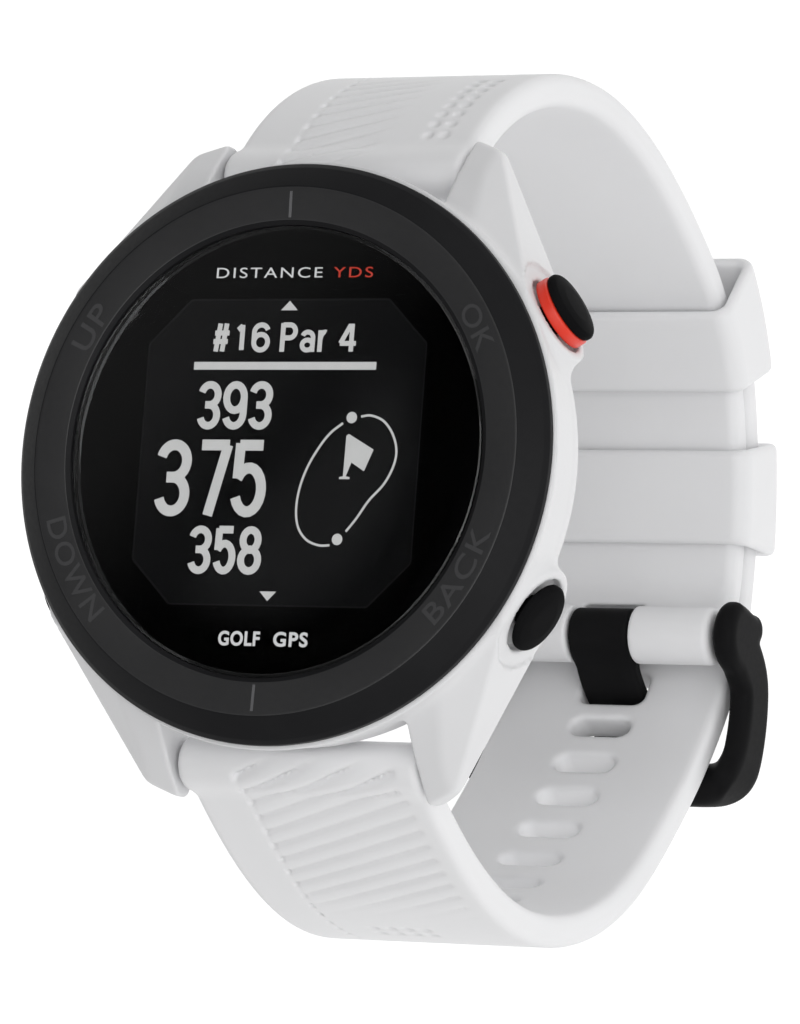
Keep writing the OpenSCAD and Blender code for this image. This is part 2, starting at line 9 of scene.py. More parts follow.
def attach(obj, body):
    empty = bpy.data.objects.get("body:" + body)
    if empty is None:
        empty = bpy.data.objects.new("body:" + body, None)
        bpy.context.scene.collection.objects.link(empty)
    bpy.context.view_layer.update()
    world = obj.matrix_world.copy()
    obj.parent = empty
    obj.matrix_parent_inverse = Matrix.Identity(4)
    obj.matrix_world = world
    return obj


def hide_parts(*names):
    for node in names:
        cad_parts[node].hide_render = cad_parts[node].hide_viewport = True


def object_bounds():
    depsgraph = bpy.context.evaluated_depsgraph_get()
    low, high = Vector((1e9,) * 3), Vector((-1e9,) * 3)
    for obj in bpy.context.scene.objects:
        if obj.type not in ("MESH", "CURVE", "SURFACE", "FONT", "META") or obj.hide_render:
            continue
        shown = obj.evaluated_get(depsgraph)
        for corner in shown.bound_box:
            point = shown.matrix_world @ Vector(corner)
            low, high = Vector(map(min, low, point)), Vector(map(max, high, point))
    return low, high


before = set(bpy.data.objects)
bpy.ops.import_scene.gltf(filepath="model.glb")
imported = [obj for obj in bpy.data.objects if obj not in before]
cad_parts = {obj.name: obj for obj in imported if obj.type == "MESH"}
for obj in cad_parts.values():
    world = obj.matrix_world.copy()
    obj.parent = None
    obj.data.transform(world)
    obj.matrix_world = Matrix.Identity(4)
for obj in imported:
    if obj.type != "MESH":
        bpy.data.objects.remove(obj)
cad_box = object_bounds()
MM = 0.001

# ---------------------------------------------------------------- sizes, mm

CASE_R, CASE_TOP, CASE_LOW, SIDE_Z, ROUND = 21.85, 9.4, 0.35, 5.0, 4.65
CAVITY_R, LEDGE_R, LEDGE_TOP = 19.2, 14.55, 2.2
COVER_R, COVER_T = 17.8, 1.35
POST_AT, POST_R, POST_TOP, INSERT_R, INSERT_TOP = 16.4, 1.5, 4.0, 0.87, 3.75
LUG_GAP, LUG_REACH, BAR_Y, BAR_Z, FOOT_R = 10.2, 24.85, 22.2, 1.75, 21.2
BUTTON_Z, BOSS_FACE, POCKET = 5.0, 22.1, 21.25
BUTTONS = {"ok": 30, "back": 330, "up": 150, "down": 210}
LENS_R, LENS_LOW, LENS_TOP, RIDGE_R, BEZEL_R, BEZEL_TOP = 16.75, 9.95, 11.05, 19.6, 21.6, 11.5
STRAP_W, STRAP_T, LAYER = 19.8, 2.6, 2.85
FLAT_C, FLAT_R, BEND_TURN, BEND_R, BEND_END, TAIL_END = (2.5, -21.95), 34.0, 20.0, 20.0, 58.0, 43.0
PIN = (-5.2, -52.1)
BEND_C = (FLAT_C[0] + (FLAT_R - BEND_R) * math.sin(math.radians(BEND_TURN)),
          FLAT_C[1] - (FLAT_R - BEND_R) * math.cos(math.radians(BEND_TURN)))
RIB = 1.68                    # distance from one rib of the strap to the next


# ---------------------------------------------------------------- fields

def smin(a, b, k):
    h = np.clip(0.5 + 0.5 * (b - a) / k, 0, 1)
    return b * (1 - h) + a * h - k * h * (1 - h)


def smax(a, b, k):
    return -smin(-a, -b, k)


def step(a, b, x):
    t = np.clip((x - a) / (b - a), 0, 1)
    return t * t * (3 - 2 * t)


def rbox2(x, y, hx, hy, r):
    """Distance to a rectangle with round corners."""
    qx, qy = np.abs(x) - hx + r, np.abs(y) - hy + r
    return np.hypot(np.maximum(qx, 0), np.maximum(qy, 0)) + np.minimum(np.maximum(qx, qy), 0) - r


def both(a, b, r):
    """Where two fields overlap, with an edge of radius r."""
    qa, qb = a + r, b + r
    return np.hypot(np.maximum(qa, 0), np.maximum(qb, 0)) + np.minimum(np.maximum(qa, qb), 0) - r


def convex(x, y, pts, k):
    """Field of a convex outline given counter-clockwise, its corners softened by k."""
    d = None
    for (ax, ay), (bx, by) in zip(pts, pts[1:] + pts[:1]):
        e = math.hypot(bx - ax, by - ay)
        side = ((x - ax) * (by - ay) - (y - ay) * (bx - ax)) / e
        d = side if d is None else smax(d, side, k)
    return d


def polyline(x, y, pts, radii):
    """Distance to a line of points, less a radius that varies along it."""
    best = None
    for (a, b), (ra, rb) in zip(zip(pts, pts[1:]), zip(radii, radii[1:])):
        ex, ey = b[0] - a[0], b[1] - a[1]
        t = np.clip(((x - a[0]) * ex + (y - a[1]) * ey) / (ex * ex + ey * ey), 0, 1)
        d = np.hypot(x - a[0] - t * ex, y - a[1] - t * ey) - (ra + (rb - ra) * t)
        best = d if best is None else np.minimum(best, d)
    return best


def surface(field, lo, hi, size):
    """Quads of the surface where field is 0, with its points moved onto it. Returns (points, faces)."""
    axes = [np.arange(a, b + s, s) for a, b, s in zip(lo, hi, size)]
    f = field(*np.meshgrid(*axes, indexing="ij"))
    n = f.shape
    cells = tuple(m - 1 for m in n)
    inside = f < 0
    quads, points = [], []
    for a in range(3):
        b, c = (a + 1) % 3, (a + 2) % 3
        first, last = [slice(None)] * 3, [slice(None)] * 3
        first[a], last[a] = slice(0, -1), slice(1, None)
        start = inside[tuple(first)]
        e = np.argwhere(start != inside[tuple(last)])
        e = e[(e[:, b] > 0) & (e[:, b] < n[b] - 1) & (e[:, c] > 0) & (e[:, c] < n[c] - 1)]
        nxt = e.copy()
        nxt[:, a] += 1
        f0, f1 = f[tuple(e.T)], f[tuple(nxt.T)]
        p = np.stack([axes[k][e[:, k]] for k in range(3)], 1)
        p[:, a] += f0 / (f0 - f1) * size[a]
        ring = []
        for db, dc in ((0, 0), (-1, 0), (-1, -1), (0, -1)):
            q = e.copy()
            q[:, b] += db
            q[:, c] += dc
            ring.append(np.ravel_multi_index(tuple(q.T), cells))
        quad = np.stack(ring, 1)
        back = ~start[tuple(e.T)]
        quad[back] = quad[back][:, ::-1]
        quads.append(quad)
        points.append(p)
    quads, points = np.concatenate(quads), np.concatenate(points)
    used, place = np.unique(quads.ravel(), return_inverse=True)
    place = place.reshape(-1)
    weight = np.bincount(place)
    v = np.stack([np.bincount(place, np.repeat(points[:, k], 4)) / weight for k in range(3)], 1)
    h = 0.02
    for _ in range(3):
        d = field(*v.T)
        g = np.stack([(field(*(v + h * np.eye(3)[k]).T) - field(*(v - h * np.eye(3)[k]).T)) / (2 * h)
                      for k in range(3)], 1)
        move = -g * (d / np.maximum((g * g).sum(1), 0.05))[:, None]
        far = np.linalg.norm(move, axis=1)
        v += move * np.minimum(1, 0.5 * min(size) / np.maximum(far, 1e-9))[:, None]
    return v, place.reshape(-1, 4)


def refine(size):
    """Grid step, times a factor that is 1 here."""
    return tuple(s * 1.0 for s in size)


# ---------------------------------------------------------------- meshes

def obj_from(name, points, faces, body, material, smooth=True, sharp=None):
    """A mesh object that rides on a body, from points in millimetres."""
    mesh = bpy.data.meshes.new(name)
    mesh.from_pydata((np.asarray(points, float) * MM).tolist(), [],
                     faces.tolist() if hasattr(faces, "tolist") else faces)
    mesh.update()
    mats = material if isinstance(material, (list, tuple)) else [material]
    for m in mats:
        mesh.materials.append(m)
    mesh.polygons.foreach_set("use_smooth", [smooth] * len(mesh.polygons))
    if sharp is not None:
        mesh.set_sharp_from_angle(angle=math.radians(sharp))
    o = bpy.data.objects.new(name, mesh)
    bpy.context.scene.collection.objects.link(o)
    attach(o, body)
    return o


def fillet(pts, radii):
    """A closed outline with its corners rounded."""
    steps = 4
    out = []
    n = len(pts)
    for i, r in enumerate(radii):
        p = np.array(pts[i], float)
        a, b = np.array(pts[i - 1], float) - p, np.array(pts[(i + 1) % n], float) - p
        la, lb = np.linalg.norm(a), np.linalg.norm(b)
        if r <= 0 or la < 1e-9 or lb < 1e-9:
            out.append(p)
            continue
        a, b = a / la, b / lb
        half = math.acos(max(-1, min(1, a @ b))) / 2
        if half > 1.56:
            out.append(p)
            continue
        cut = min(r / math.tan(half), 0.49 * la, 0.49 * lb)
        r = cut * math.tan(half)
        centre = p + (a + b) / np.linalg.norm(a + b) * (r / math.sin(half))
        s, e = p + a * cut - centre, p + b * cut - centre
        turn = math.acos(max(-1, min(1, (s @ e) / (r * r))))
        for k in range(steps + 1):
            t = k / steps
            if turn < 1e-6:
                out.append(p)
                break
            out.append(centre + (s * math.sin((1 - t) * turn) + e * math.sin(t * turn)) / math.sin(turn))
    return [tuple(q) for q in out]


def revolve(outline, segments):
    """Points and faces of an outline of (radius, height), turned about Z."""
    m = len(outline)
    turn = np.arange(segments) * 2 * math.pi / segments
    pts = np.array([[(r * math.cos(t), r * math.sin(t), z) for r, z in outline] for t in turn]).reshape(-1, 3)
    faces = []
    for i in range(segments):
        j = (i + 1) % segments
        for k in range(m):
            l = (k + 1) % m
            if outline[k][0] < 1e-6 and outline[l][0] < 1e-6:
                continue
            faces.append((i * m + k, j * m + k, j * m + l, i * m + l))
    return pts, faces


def clean(o):
    """Merges points that meet, drops flat faces and turns the faces outward."""
    bm = bmesh.new()
    bm.from_mesh(o.data)
    bmesh.ops.remove_doubles(bm, verts=bm.verts, dist=2e-6)
    bmesh.ops.dissolve_degenerate(bm, edges=bm.edges, dist=1e-7)
    bmesh.ops.recalc_face_normals(bm, faces=bm.faces)
    bm.to_mesh(o.data)
    bm.free()
    return o


def on_button(points, angle):
    """From a button's own axis (height = outward) into the row frame."""
    c, s = math.cos(math.radians(angle)), math.sin(math.radians(angle))
    p = np.asarray(points, float)
    r, y, z = p[:, 2], p[:, 1], BUTTON_Z - p[:, 0]
    return np.stack([r * c - y * s, r * s + y * c, z], 1)


# ---------------------------------------------------------------- strap routes

def arc_point(c, r, a):
    a = math.radians(a)
    return (c[0] + r * math.sin(a), c[1] - r * math.cos(a))


def leg(s, e, n):
    """Points and headings of the smooth curve from one station to the next."""
    a, d = np.array(s[:2]), np.array(e[:2])
    turn, chord = math.radians(abs(e[2] - s[2])), np.linalg.norm(d - a)
    h = chord / 3 if turn < 0.018 else chord / (2 * math.sin(turn / 2)) * 4 / 3 * math.tan(turn / 4)
    ds, de = math.radians(s[2]), math.radians(e[2])
    b = a + h * np.array([math.cos(ds), math.sin(ds)])
    c = d - h * np.array([math.cos(de), math.sin(de)])
    t = np.linspace(0, 1, n + 1)[:, None]
    p = a * (1 - t) ** 3 + 3 * b * t * (1 - t) ** 2 + 3 * c * t * t * (1 - t) + d * t ** 3
    v = (b - a) * (1 - t) ** 2 + 2 * (c - b) * t * (1 - t) + (d - c) * t * t
    return p, v


class Route:
    """A strap's middle line in the plane X = 0. side is +1 if its outward face is on the left."""

    def __init__(self, stations, side, n=120):
        p, v = [], []
        for k in range(len(stations) - 1):
            lp, lv = leg(stations[k], stations[k + 1], n)
            p.append(lp if k == 0 else lp[1:])
            v.append(lv if k == 0 else lv[1:])
        p, v = np.concatenate(p), np.concatenate(v)
        self.s = np.concatenate([[0], np.cumsum(np.linalg.norm(np.diff(p, axis=0), axis=1))])
        self.p, self.side, self.length = p, side, self.s[-1]
        self.a = np.unwrap(np.arctan2(v[:, 1], v[:, 0]))

    def place(self, s, n):
        """(y, z) of points at a distance s along the route and n outward from it."""
        a = np.interp(s, self.s, self.a)
        over = s - np.clip(s, 0, self.length)
        y = np.interp(s, self.s, self.p[:, 0]) + over * np.cos(a) - self.side * n * np.sin(a)
        z = np.interp(s, self.s, self.p[:, 1]) + over * np.sin(a) + self.side * n * np.cos(a)
        return y, z

    def axes_at_start(self):
        a = self.a[0]
        return (math.cos(a), math.sin(a)), (-self.side * math.sin(a), self.side * math.cos(a))


UPPER = Route([(BAR_Y, BAR_Z, -35), (32.85, -21.2, -90),
               (*arc_point(BEND_C, BEND_R, BEND_END), BEND_END - 180),
               (*arc_point(FLAT_C, FLAT_R, BEND_TURN), BEND_TURN - 180),
               (*arc_point(FLAT_C, FLAT_R, -5), -185), (*PIN, -240)], 1)
LOWER = Route([(-BAR_Y, BAR_Z, 233), (-31.9, -21.6, 270), (-27.3, -38.6, 302), (-19.1, -48.3, 314),
               (-14, -52.8, 322), (*arc_point(FLAT_C, FLAT_R + LAYER, -9), 351),
               (*arc_point(FLAT_C, FLAT_R + LAYER, BEND_TURN), 360 + BEND_TURN),
               (*arc_point(BEND_C, BEND_R + LAYER, TAIL_END), 360 + TAIL_END)], -1)


# ---------------------------------------------------------------- materials

def new_material(name):
    m = bpy.data.materials.new(name)
    m.use_nodes = True
    nt = m.node_tree
    nt.nodes.clear()
    out = nt.nodes.new("ShaderNodeOutputMaterial")
    b = nt.nodes.new("ShaderNodeBsdfPrincipled")
    nt.links.new(b.outputs[0], out.inputs[0])
    return m, nt, b


def noise(nt, scale, detail):
    t = nt.nodes.new("ShaderNodeTexCoord")
    n = nt.nodes.new("ShaderNodeTexNoise")
    n.inputs["Scale"].default_value = scale
    n.inputs["Detail"].default_value = detail
    nt.links.new(t.outputs["Object"], n.inputs["Vector"])
    return n.outputs["Fac"]


def spread(nt, value, lo, hi):
    r = nt.nodes.new("ShaderNodeMapRange")
    r.inputs["From Min"].default_value, r.inputs["From Max"].default_value = 0.3, 0.7
    r.inputs["To Min"].default_value, r.inputs["To Max"].default_value = lo, hi
    nt.links.new(value, r.inputs["Value"])
    return r.outputs[0]


def tint(nt, value, dark, light):
    r = nt.nodes.new("ShaderNodeValToRGB")
    r.color_ramp.elements[0].position, r.color_ramp.elements[1].position = 0.3, 0.7
    r.color_ramp.elements[0].color = (*dark, 1)
    r.color_ramp.elements[1].color = (*light, 1)
    nt.links.new(value, r.inputs[0])
    return r.outputs[0]


def bump(nt, bsdf, value, height, strength):
    b = nt.nodes.new("ShaderNodeBump")
    b.inputs["Distance"].default_value = height
    b.inputs["Strength"].default_value = strength
    nt.links.new(value, b.inputs["Height"])
    nt.links.new(b.outputs[0], bsdf.inputs["Normal"])


def plain(name, dark, light, rough, patch=90.0, grain=2600.0, grain_h=4e-6, coat=0.0, spec=None):
    """Moulded surface: colour varies in soft patches, with a fine grain in its height."""
    m, nt, b = new_material(name)
    patches = noise(nt, patch, 4)
    fine = noise(nt, grain, 2)
    nt.links.new(tint(nt, patches, dark, light), b.inputs["Base Color"])
    nt.links.new(spread(nt, fine, rough[0], rough[1]), b.inputs["Roughness"])
    if coat:
        b.inputs["Coat Weight"].default_value = coat
        b.inputs["Coat Roughness"].default_value = 0.1
    if spec is not None:
        b.inputs["Specular IOR Level"].default_value = spec
    bump(nt, b, fine, grain_h, 0.5)
    return m


def brushed(name, dark, light, rough):
    """Turned or drawn metal, with fine lines across it."""
    m, nt, b = new_material(name)
    t = nt.nodes.new("ShaderNodeTexCoord")
    s = nt.nodes.new("ShaderNodeMapping")
    s.inputs["Scale"].default_value = (6000, 400, 400)
    n = nt.nodes.new("ShaderNodeTexNoise")
    n.inputs["Scale"].default_value, n.inputs["Detail"].default_value = 1.0, 3.0
    nt.links.new(t.outputs["Object"], s.inputs["Vector"])
    nt.links.new(s.outputs[0], n.inputs["Vector"])
    nt.links.new(tint(nt, n.outputs["Fac"], dark, light), b.inputs["Base Color"])
    nt.links.new(spread(nt, n.outputs["Fac"], rough[0], rough[1]), b.inputs["Roughness"])
    b.inputs["Metallic"].default_value = 1.0
    bump(nt, b, n.outputs["Fac"], 2e-6, 0.4)
    return m


def painted_glow(name, colour, strength):
    """Painted light: a picture element that glows on its own in place of the lamp light it would catch, the glow a
    little uneven.
    """
    m, nt, b = new_material(name)
    fine = noise(nt, 900, 2)
    lo = tuple(c * 0.95 for c in colour)
    nt.links.new(tint(nt, fine, lo, colour), b.inputs["Emission Color"])
    b.inputs["Emission Strength"].default_value = strength
    b.inputs["Base Color"].default_value = (0.01, 0.01, 0.01, 1)
    b.inputs["Roughness"].default_value = 0.6
    return m


MAT = {
    "case": plain("case_white", (0.73, 0.73, 0.74), (0.76, 0.76, 0.77), (0.36, 0.42), grain=3200, grain_h=2.5e-6),
    "strap": plain("strap_silicone", (0.82, 0.82, 0.83), (0.85, 0.85, 0.86), (0.46, 0.54), patch=60,
                   grain=2400, grain_h=5e-6),
    # The bezel black comes in two copies: the flat ring's lighter base colour is painted light for the sheen it
    # catches, while its stronger specular is its finish.
    "bezel": plain("bezel_black", (0.010, 0.010, 0.011), (0.013, 0.013, 0.014), (0.42, 0.50), patch=140,
                   grain=2800, grain_h=4e-6, spec=0.1),
    "bezel_flat_painted_lighter": plain("bezel_flat_black_painted_lighter", (0.019, 0.019, 0.020), (0.024, 0.024, 0.025), (0.36, 0.42), patch=140,
                        grain=2800, grain_h=4e-6, spec=0.6),
    "label": plain("label_dark", (0.044, 0.044, 0.046), (0.050, 0.050, 0.052), (0.36, 0.42), grain=3000, spec=0.6),
    "index": plain("index_grey", (0.10, 0.10, 0.105), (0.13, 0.13, 0.135), (0.35, 0.4), grain=3000),
    "mask": plain("lens_print_black", (0.0012, 0.0012, 0.0013), (0.002, 0.002, 0.0021), (0.5, 0.6), spec=0.01),
    "display": plain("display_dark", (0.0090, 0.0090, 0.0094), (0.0105, 0.0105, 0.011), (0.5, 0.6), patch=300,
                     spec=0.02),
    "edge": plain("display_edge", (0.016, 0.016, 0.017), (0.019, 0.019, 0.020), (0.4, 0.5), spec=0.05),
    "button": plain("button_black", (0.007, 0.007, 0.0075), (0.010, 0.010, 0.0105), (0.30, 0.38), patch=200,
                    grain=3400, grain_h=3e-6, spec=0.002),
    "red": plain("accent_red", (0.72, 0.030, 0.012), (0.80, 0.042, 0.016), (0.34, 0.42), patch=250),
    "buckle": plain("buckle_black", (0.009, 0.009, 0.0095), (0.012, 0.012, 0.0125), (0.34, 0.42), patch=160,
                    grain=2400, grain_h=3e-6, spec=0.015),
    "rubber": plain("seal_rubber", (0.015, 0.015, 0.016), (0.024, 0.024, 0.025), (0.6, 0.75), grain=1800,
                    grain_h=8e-6),
    "inner": plain("inner_plastic", (0.05, 0.052, 0.056), (0.075, 0.077, 0.082), (0.45, 0.6)),
    "clear": plain("light_guide_clear", (0.70, 0.74, 0.76), (0.78, 0.82, 0.84), (0.2, 0.3)),
    "ceramic": plain("antenna_ceramic", (0.55, 0.45, 0.27), (0.62, 0.52, 0.33), (0.5, 0.65), grain=1500,
                     grain_h=8e-6),
    "film": plain("flex_film", (0.38, 0.17, 0.04), (0.48, 0.24, 0.06), (0.25, 0.35), coat=0.4),
    "board": plain("board_green", (0.015, 0.10, 0.045), (0.02, 0.14, 0.06), (0.35, 0.5), patch=500, coat=0.3),
    "shield": brushed("shield_metal", (0.55, 0.55, 0.56), (0.68, 0.68, 0.69), (0.3, 0.42)),
    "chip": plain("chip_black", (0.012, 0.012, 0.013), (0.022, 0.022, 0.023), (0.5, 0.62), grain=1800),
    "foil": brushed("battery_foil", (0.45, 0.47, 0.50), (0.58, 0.60, 0.63), (0.32, 0.5)),
    "foam": plain("pad_foam", (0.03, 0.03, 0.032), (0.06, 0.06, 0.063), (0.8, 0.95), grain=900, grain_h=3e-5),
    "lead": plain("lead_red", (0.40, 0.035, 0.02), (0.50, 0.05, 0.03), (0.4, 0.5)),
    "gold": brushed("gold_contact", (0.80, 0.56, 0.22), (0.90, 0.66, 0.30), (0.18, 0.3)),
    "brass": brushed("brass_insert", (0.60, 0.42, 0.14), (0.72, 0.52, 0.20), (0.25, 0.4)),
    "steel": brushed("steel", (0.52, 0.52, 0.54), (0.66, 0.66, 0.68), (0.22, 0.34)),
    # The display picture glows: painted light in place of the lamp light its reflective display would catch under
    # the glass.
    "lcd_painted_glow": painted_glow("display_painted_glow", (0.60, 0.60, 0.59), 0.92),
    # The white and red print glows: painted light in place of the lamp light that the lens glass keeps off it; the
    # colours are the print's own.
    "print": painted_glow("print_white_painted_glow", (0.70, 0.70, 0.70), 0.9),
    "print_red_painted_glow": painted_glow("print_red_painted_glow", (0.62, 0.045, 0.020), 0.8),
}


def glass():
    m, nt, b = new_material("lens_glass")
    fine = noise(nt, 120, 2)
    nt.links.new(spread(nt, fine, 0.012, 0.03), b.inputs["Roughness"])
    b.inputs["Base Color"].default_value = (0.97, 0.98, 0.99, 1)
    b.inputs["Transmission Weight"].default_value = 1.0
    b.inputs["IOR"].default_value = 1.45
    return m


MAT["glass"] = glass()

CAD_MATERIALS = {
    "bezel_seal": "rubber", "lens_gasket": "rubber", "display_panel": "display", "light_guide": "clear",
    "display_frame": "inner", "gps_antenna": "ceramic", "display_flex": "film", "main_board": "board",
    "board_shield": "shield", "processor": "chip", "board_connector": "ceramic", "ok_switch": "shield",
    "back_switch": "shield", "up_switch": "shield", "down_switch": "shield", "battery": "foil",
    "battery_pad": "foam", "battery_lead": "lead", "charge_contacts": "gold", "back_cover": "case",
    "back_seal": "rubber", "case_screws": "steel", "screw_inserts": "brass",
    "upper_spring_bar": "steel", "upper_release_pin": "steel", "lower_spring_bar": "steel",
    "lower_release_pin": "steel", "buckle_pin": "steel",
}
for b in BUTTONS:
    CAD_MATERIALS[b + "_button_seal"] = "rubber"
    CAD_MATERIALS[b + "_button_clip"] = "steel"
for node, key in CAD_MATERIALS.items():
    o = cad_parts[node]
    o.data.materials.clear()
    o.data.materials.append(MAT[key])


# ---------------------------------------------------------------- housing

# Outlines of one lug: in plan (|x|, |y|) and from the side (|y|, z)
LUG_PLAN = [(LUG_GAP, 11), (16, 9), (18.6, 12.2), (12.85, 23.7), (12.55, 23.95), (10.4, LUG_REACH),
            (LUG_GAP, 24.65)]
LUG_SIDE = [(8, 0.35), (24.15, 0.25), (LUG_REACH, 0.9), (LUG_REACH, 2.1), (23.8, 3.1), (21.8, 4.9), (19.7, 6.45),
            (16.1, 9.15), (8, 9.15)]


def plane(x, y, z, point, normal):
    """Field of a half space through a point."""
    n = np.array(normal) / np.linalg.norm(normal)
    return (x - point[0]) * n[0] + (y - point[1]) * n[1] + (z - point[2]) * n[2]


def housing_field(x, y, z):
    r, ax, ay = np.hypot(x, y), np.abs(x), np.abs(y)
    rise, lean = CASE_TOP - 0.35 - SIDE_Z, CASE_R - FOOT_R
    wall = ((r - FOOT_R) * rise - (z - SIDE_Z) * lean) / math.hypot(rise, lean)
    side = np.where((z < SIDE_Z) & (r > FOOT_R - ROUND), np.hypot(r - (FOOT_R - ROUND), z - SIDE_Z) - ROUND,
                    np.maximum(wall, CASE_LOW - z))
    lug = smax(convex(ax, ay, LUG_PLAN, 0.2), convex(ay, z, LUG_SIDE, 0.12), 0.25)
    lug = smax(lug, plane(ax, ay, z, (13.1, 17.7, 7.95), (0.437, 0.591, 0.678)), 0.2)
    lug = smax(lug, plane(ax, ay, z, (19.78, 9.86, 1.8), (0.633, 0.316, -0.707)), 0.3)
    d = smin(side, lug, 0.6)
    for a in BUTTONS.values():
        c, s = math.cos(math.radians(a)), math.sin(math.radians(a))
        out, across = x * c + y * s, np.hypot(-x * s + y * c, z - BUTTON_Z)
        cone = (across - (4.5 - (out - 17) * 0.8 / 5.1)) * 0.98     # a flat boss that narrows outward
        d = smin(d, smax(cone, np.maximum(out - BOSS_FACE, 15 - out), 0.3), 0.9)
        d = smax(d, -np.maximum(across - 4.3, BOSS_FACE - out), 0.12)
    d = smax(d, z - CASE_TOP, 0.25)
    # inside: screw posts, cavity above the ledge, the ledge's opening and the cover's recess
    posts = np.inf
    for a in (45, 135, 225, 315):
        c, s = POST_AT * math.cos(math.radians(a)), POST_AT * math.sin(math.radians(a))
        away = np.hypot(x - c, y - s)
        posts = np.minimum(posts, np.maximum(away - POST_R, z - POST_TOP))
        d = np.maximum(d, -np.maximum(away - INSERT_R, z - INSERT_TOP))
    d = np.maximum(d, -np.maximum(np.maximum(r - CAVITY_R, LEDGE_TOP - z), -posts))
    d = np.maximum(d, -np.maximum(r - LEDGE_R, z - LEDGE_TOP - 1))
    d = np.maximum(d, -np.maximum(r - COVER_R, z - COVER_T))
    for a in BUTTONS.values():
        c, s = math.cos(math.radians(a)), math.sin(math.radians(a))
        out, across = x * c + y * s, np.hypot(-x * s + y * c, z - BUTTON_Z)
        d = smax(d, -np.maximum(across - 3.0, POCKET - out), 0.12)
        d = np.maximum(d, -np.maximum(across - 1.23, CAVITY_R - 2 - out))
    for sy in (-1, 1):
        away = np.hypot(y - sy * BAR_Y, z - BAR_Z)
        d = smax(d, -np.maximum(away - 2.35, ax - LUG_GAP), 0.15)
        d = np.maximum(d, -np.maximum(away - 0.5, ax - 11.8))
    return d


pts, faces = surface(housing_field, (-22.6, -25.4, -0.2), (22.6, 25.4, 9.8), refine((0.22, 0.22, 0.22)))
housing = obj_from("housing_shell", pts, faces, "case", MAT["case"])
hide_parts("case_housing")

# ---------------------------------------------------------------- bezel, lens and dial

b_in, b_low = LENS_R + 0.04, LENS_LOW - 0.22
bezel_outline = fillet([
    (b_in, b_low), (b_in, BEZEL_TOP - 0.35), (LENS_R + 0.4, BEZEL_TOP - 0.12), (RIDGE_R, BEZEL_TOP),
    (BEZEL_R - 0.35, BEZEL_TOP - 1.15), (BEZEL_R, BEZEL_TOP - 1.5), (BEZEL_R, CASE_TOP + 0.05),
    (15.4, CASE_TOP + 0.05), (15.4, b_low)], [0, 0.08, 0.2, 0.5, 0.25, 0.2, 0.08, 0, 0])
pts, faces = revolve(bezel_outline, 256)
bezel = clean(obj_from("bezel_ring", pts, faces, "case", [MAT["bezel"], MAT["bezel_flat_painted_lighter"]], sharp=35))
# Flat top faces inside the ridge take the lighter copy, whose lighter base colour is painted light.
for f in bezel.data.polygons:
    if f.normal.z > 0.9 and math.hypot(f.center.x, f.center.y) < RIDGE_R * MM:
        f.material_index = 1
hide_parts("bezel")

lens_outline = fillet([(0, LENS_LOW), (LENS_R, LENS_LOW), (LENS_R, LENS_TOP - 0.2), (LENS_R - 0.25, LENS_TOP),
                       (0, LENS_TOP)], [0, 0.04, 0.1, 0.1, 0])
pts, faces = revolve(lens_outline, 192)
lens = clean(obj_from("dial_lens", pts, faces, "case", MAT["glass"], sharp=30))
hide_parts("lens")


def ribbon_solid(rings, z0, z1):
    """Closed thin solid between an outer and an inner outline with the same number of points."""
    outer, inner = [np.asarray(r, float) for r in rings]
    n = len(outer)
    pts = np.concatenate([np.column_stack([q, np.full(n, z)]) for q in (outer, inner) for z in (z0, z1)])
    faces = []
    for i in range(n):
        j = (i + 1) % n
        o0, o1, i0, i1 = 0, n, 2 * n, 3 * n
        faces += [(o1 + i, o1 + j, i1 + j, i1 + i), (o0 + j, o0 + i, i0 + i, i0 + j),
                  (o0 + i, o0 + j, o1 + j, o1 + i), (i0 + j, i0 + i, i1 + i, i1 + j)]
    return pts, faces


def slab(outline, z0, z1):
    """Closed thin solid of a convex or simple outline, counter-clockwise."""
    q = np.asarray(outline, float)
    n = len(q)
    pts = np.concatenate([np.column_stack([q, np.full(n, z)]) for z in (z0, z1)])
    faces = [tuple(range(n, 2 * n)), tuple(range(n - 1, -1, -1))]
    faces += [(i, (i + 1) % n, n + (i + 1) % n, n + i) for i in range(n)]
    return pts, faces


def octagon(half, cut):
    c = half - cut
    return [(half, -c), (half, c), (c, half), (-c, half), (-half, c), (-half, -c), (-c, -half), (c, -half)]


def by_angle(outline, angles):
    """Points of a convex outline round the origin at the given angles."""
    out = []
    n = len(outline)
    for t in angles:
        d = np.array([math.cos(t), math.sin(t)])
        for i in range(n):
            a, b = np.array(outline[i]), np.array(outline[(i + 1) % n])
            e = b - a
            det = d[0] * -e[1] + d[1] * e[0]
            if abs(det) < 1e-12:
                continue
            u = (a[0] * -e[1] + a[1] * e[0]) / det
            w = (d[0] * a[1] - d[1] * a[0]) / det
            if u > 0 and -1e-9 <= w <= 1 + 1e-9:
                out.append(d * u)
                break
    return out


WINDOW, WINDOW_CUT, MASK_R = 11.4, 3.3, 16.72
window = octagon(WINDOW, WINDOW_CUT)
corner_angles = [math.atan2(y, x) % (2 * math.pi) for x, y in window]
angles = sorted(set(list(np.arange(192) * 2 * math.pi / 192) + corner_angles))
circle = [(MASK_R * math.cos(t), MASK_R * math.sin(t)) for t in angles]
PRINT_LOW, PRINT_TOP = LENS_LOW - 0.022, LENS_LOW - 0.006
pts, faces = ribbon_solid([circle, by_angle(window, angles)], PRINT_LOW, PRINT_TOP)
obj_from("lens_mask", pts, faces, "case", MAT["mask"], smooth=False)
IMAGE = (PRINT_LOW - 0.02, PRINT_LOW - 0.004)
inner_edge = octagon(WINDOW - 0.12, WINDOW_CUT - 0.05)
pts, faces = ribbon_solid([by_angle(window, angles), by_angle(inner_edge, angles)], *IMAGE)
obj_from("display_edge", pts, faces, "case", MAT["edge"], smooth=False)


def joined(parts):
    """One set of points and faces from several."""
    pts, faces, k = [], [], 0
    for p, f in parts:
        pts.append(np.asarray(p, float))
        faces += [tuple(i + k for i in q) for q in f]
        k += len(p)
    return np.concatenate(pts), faces


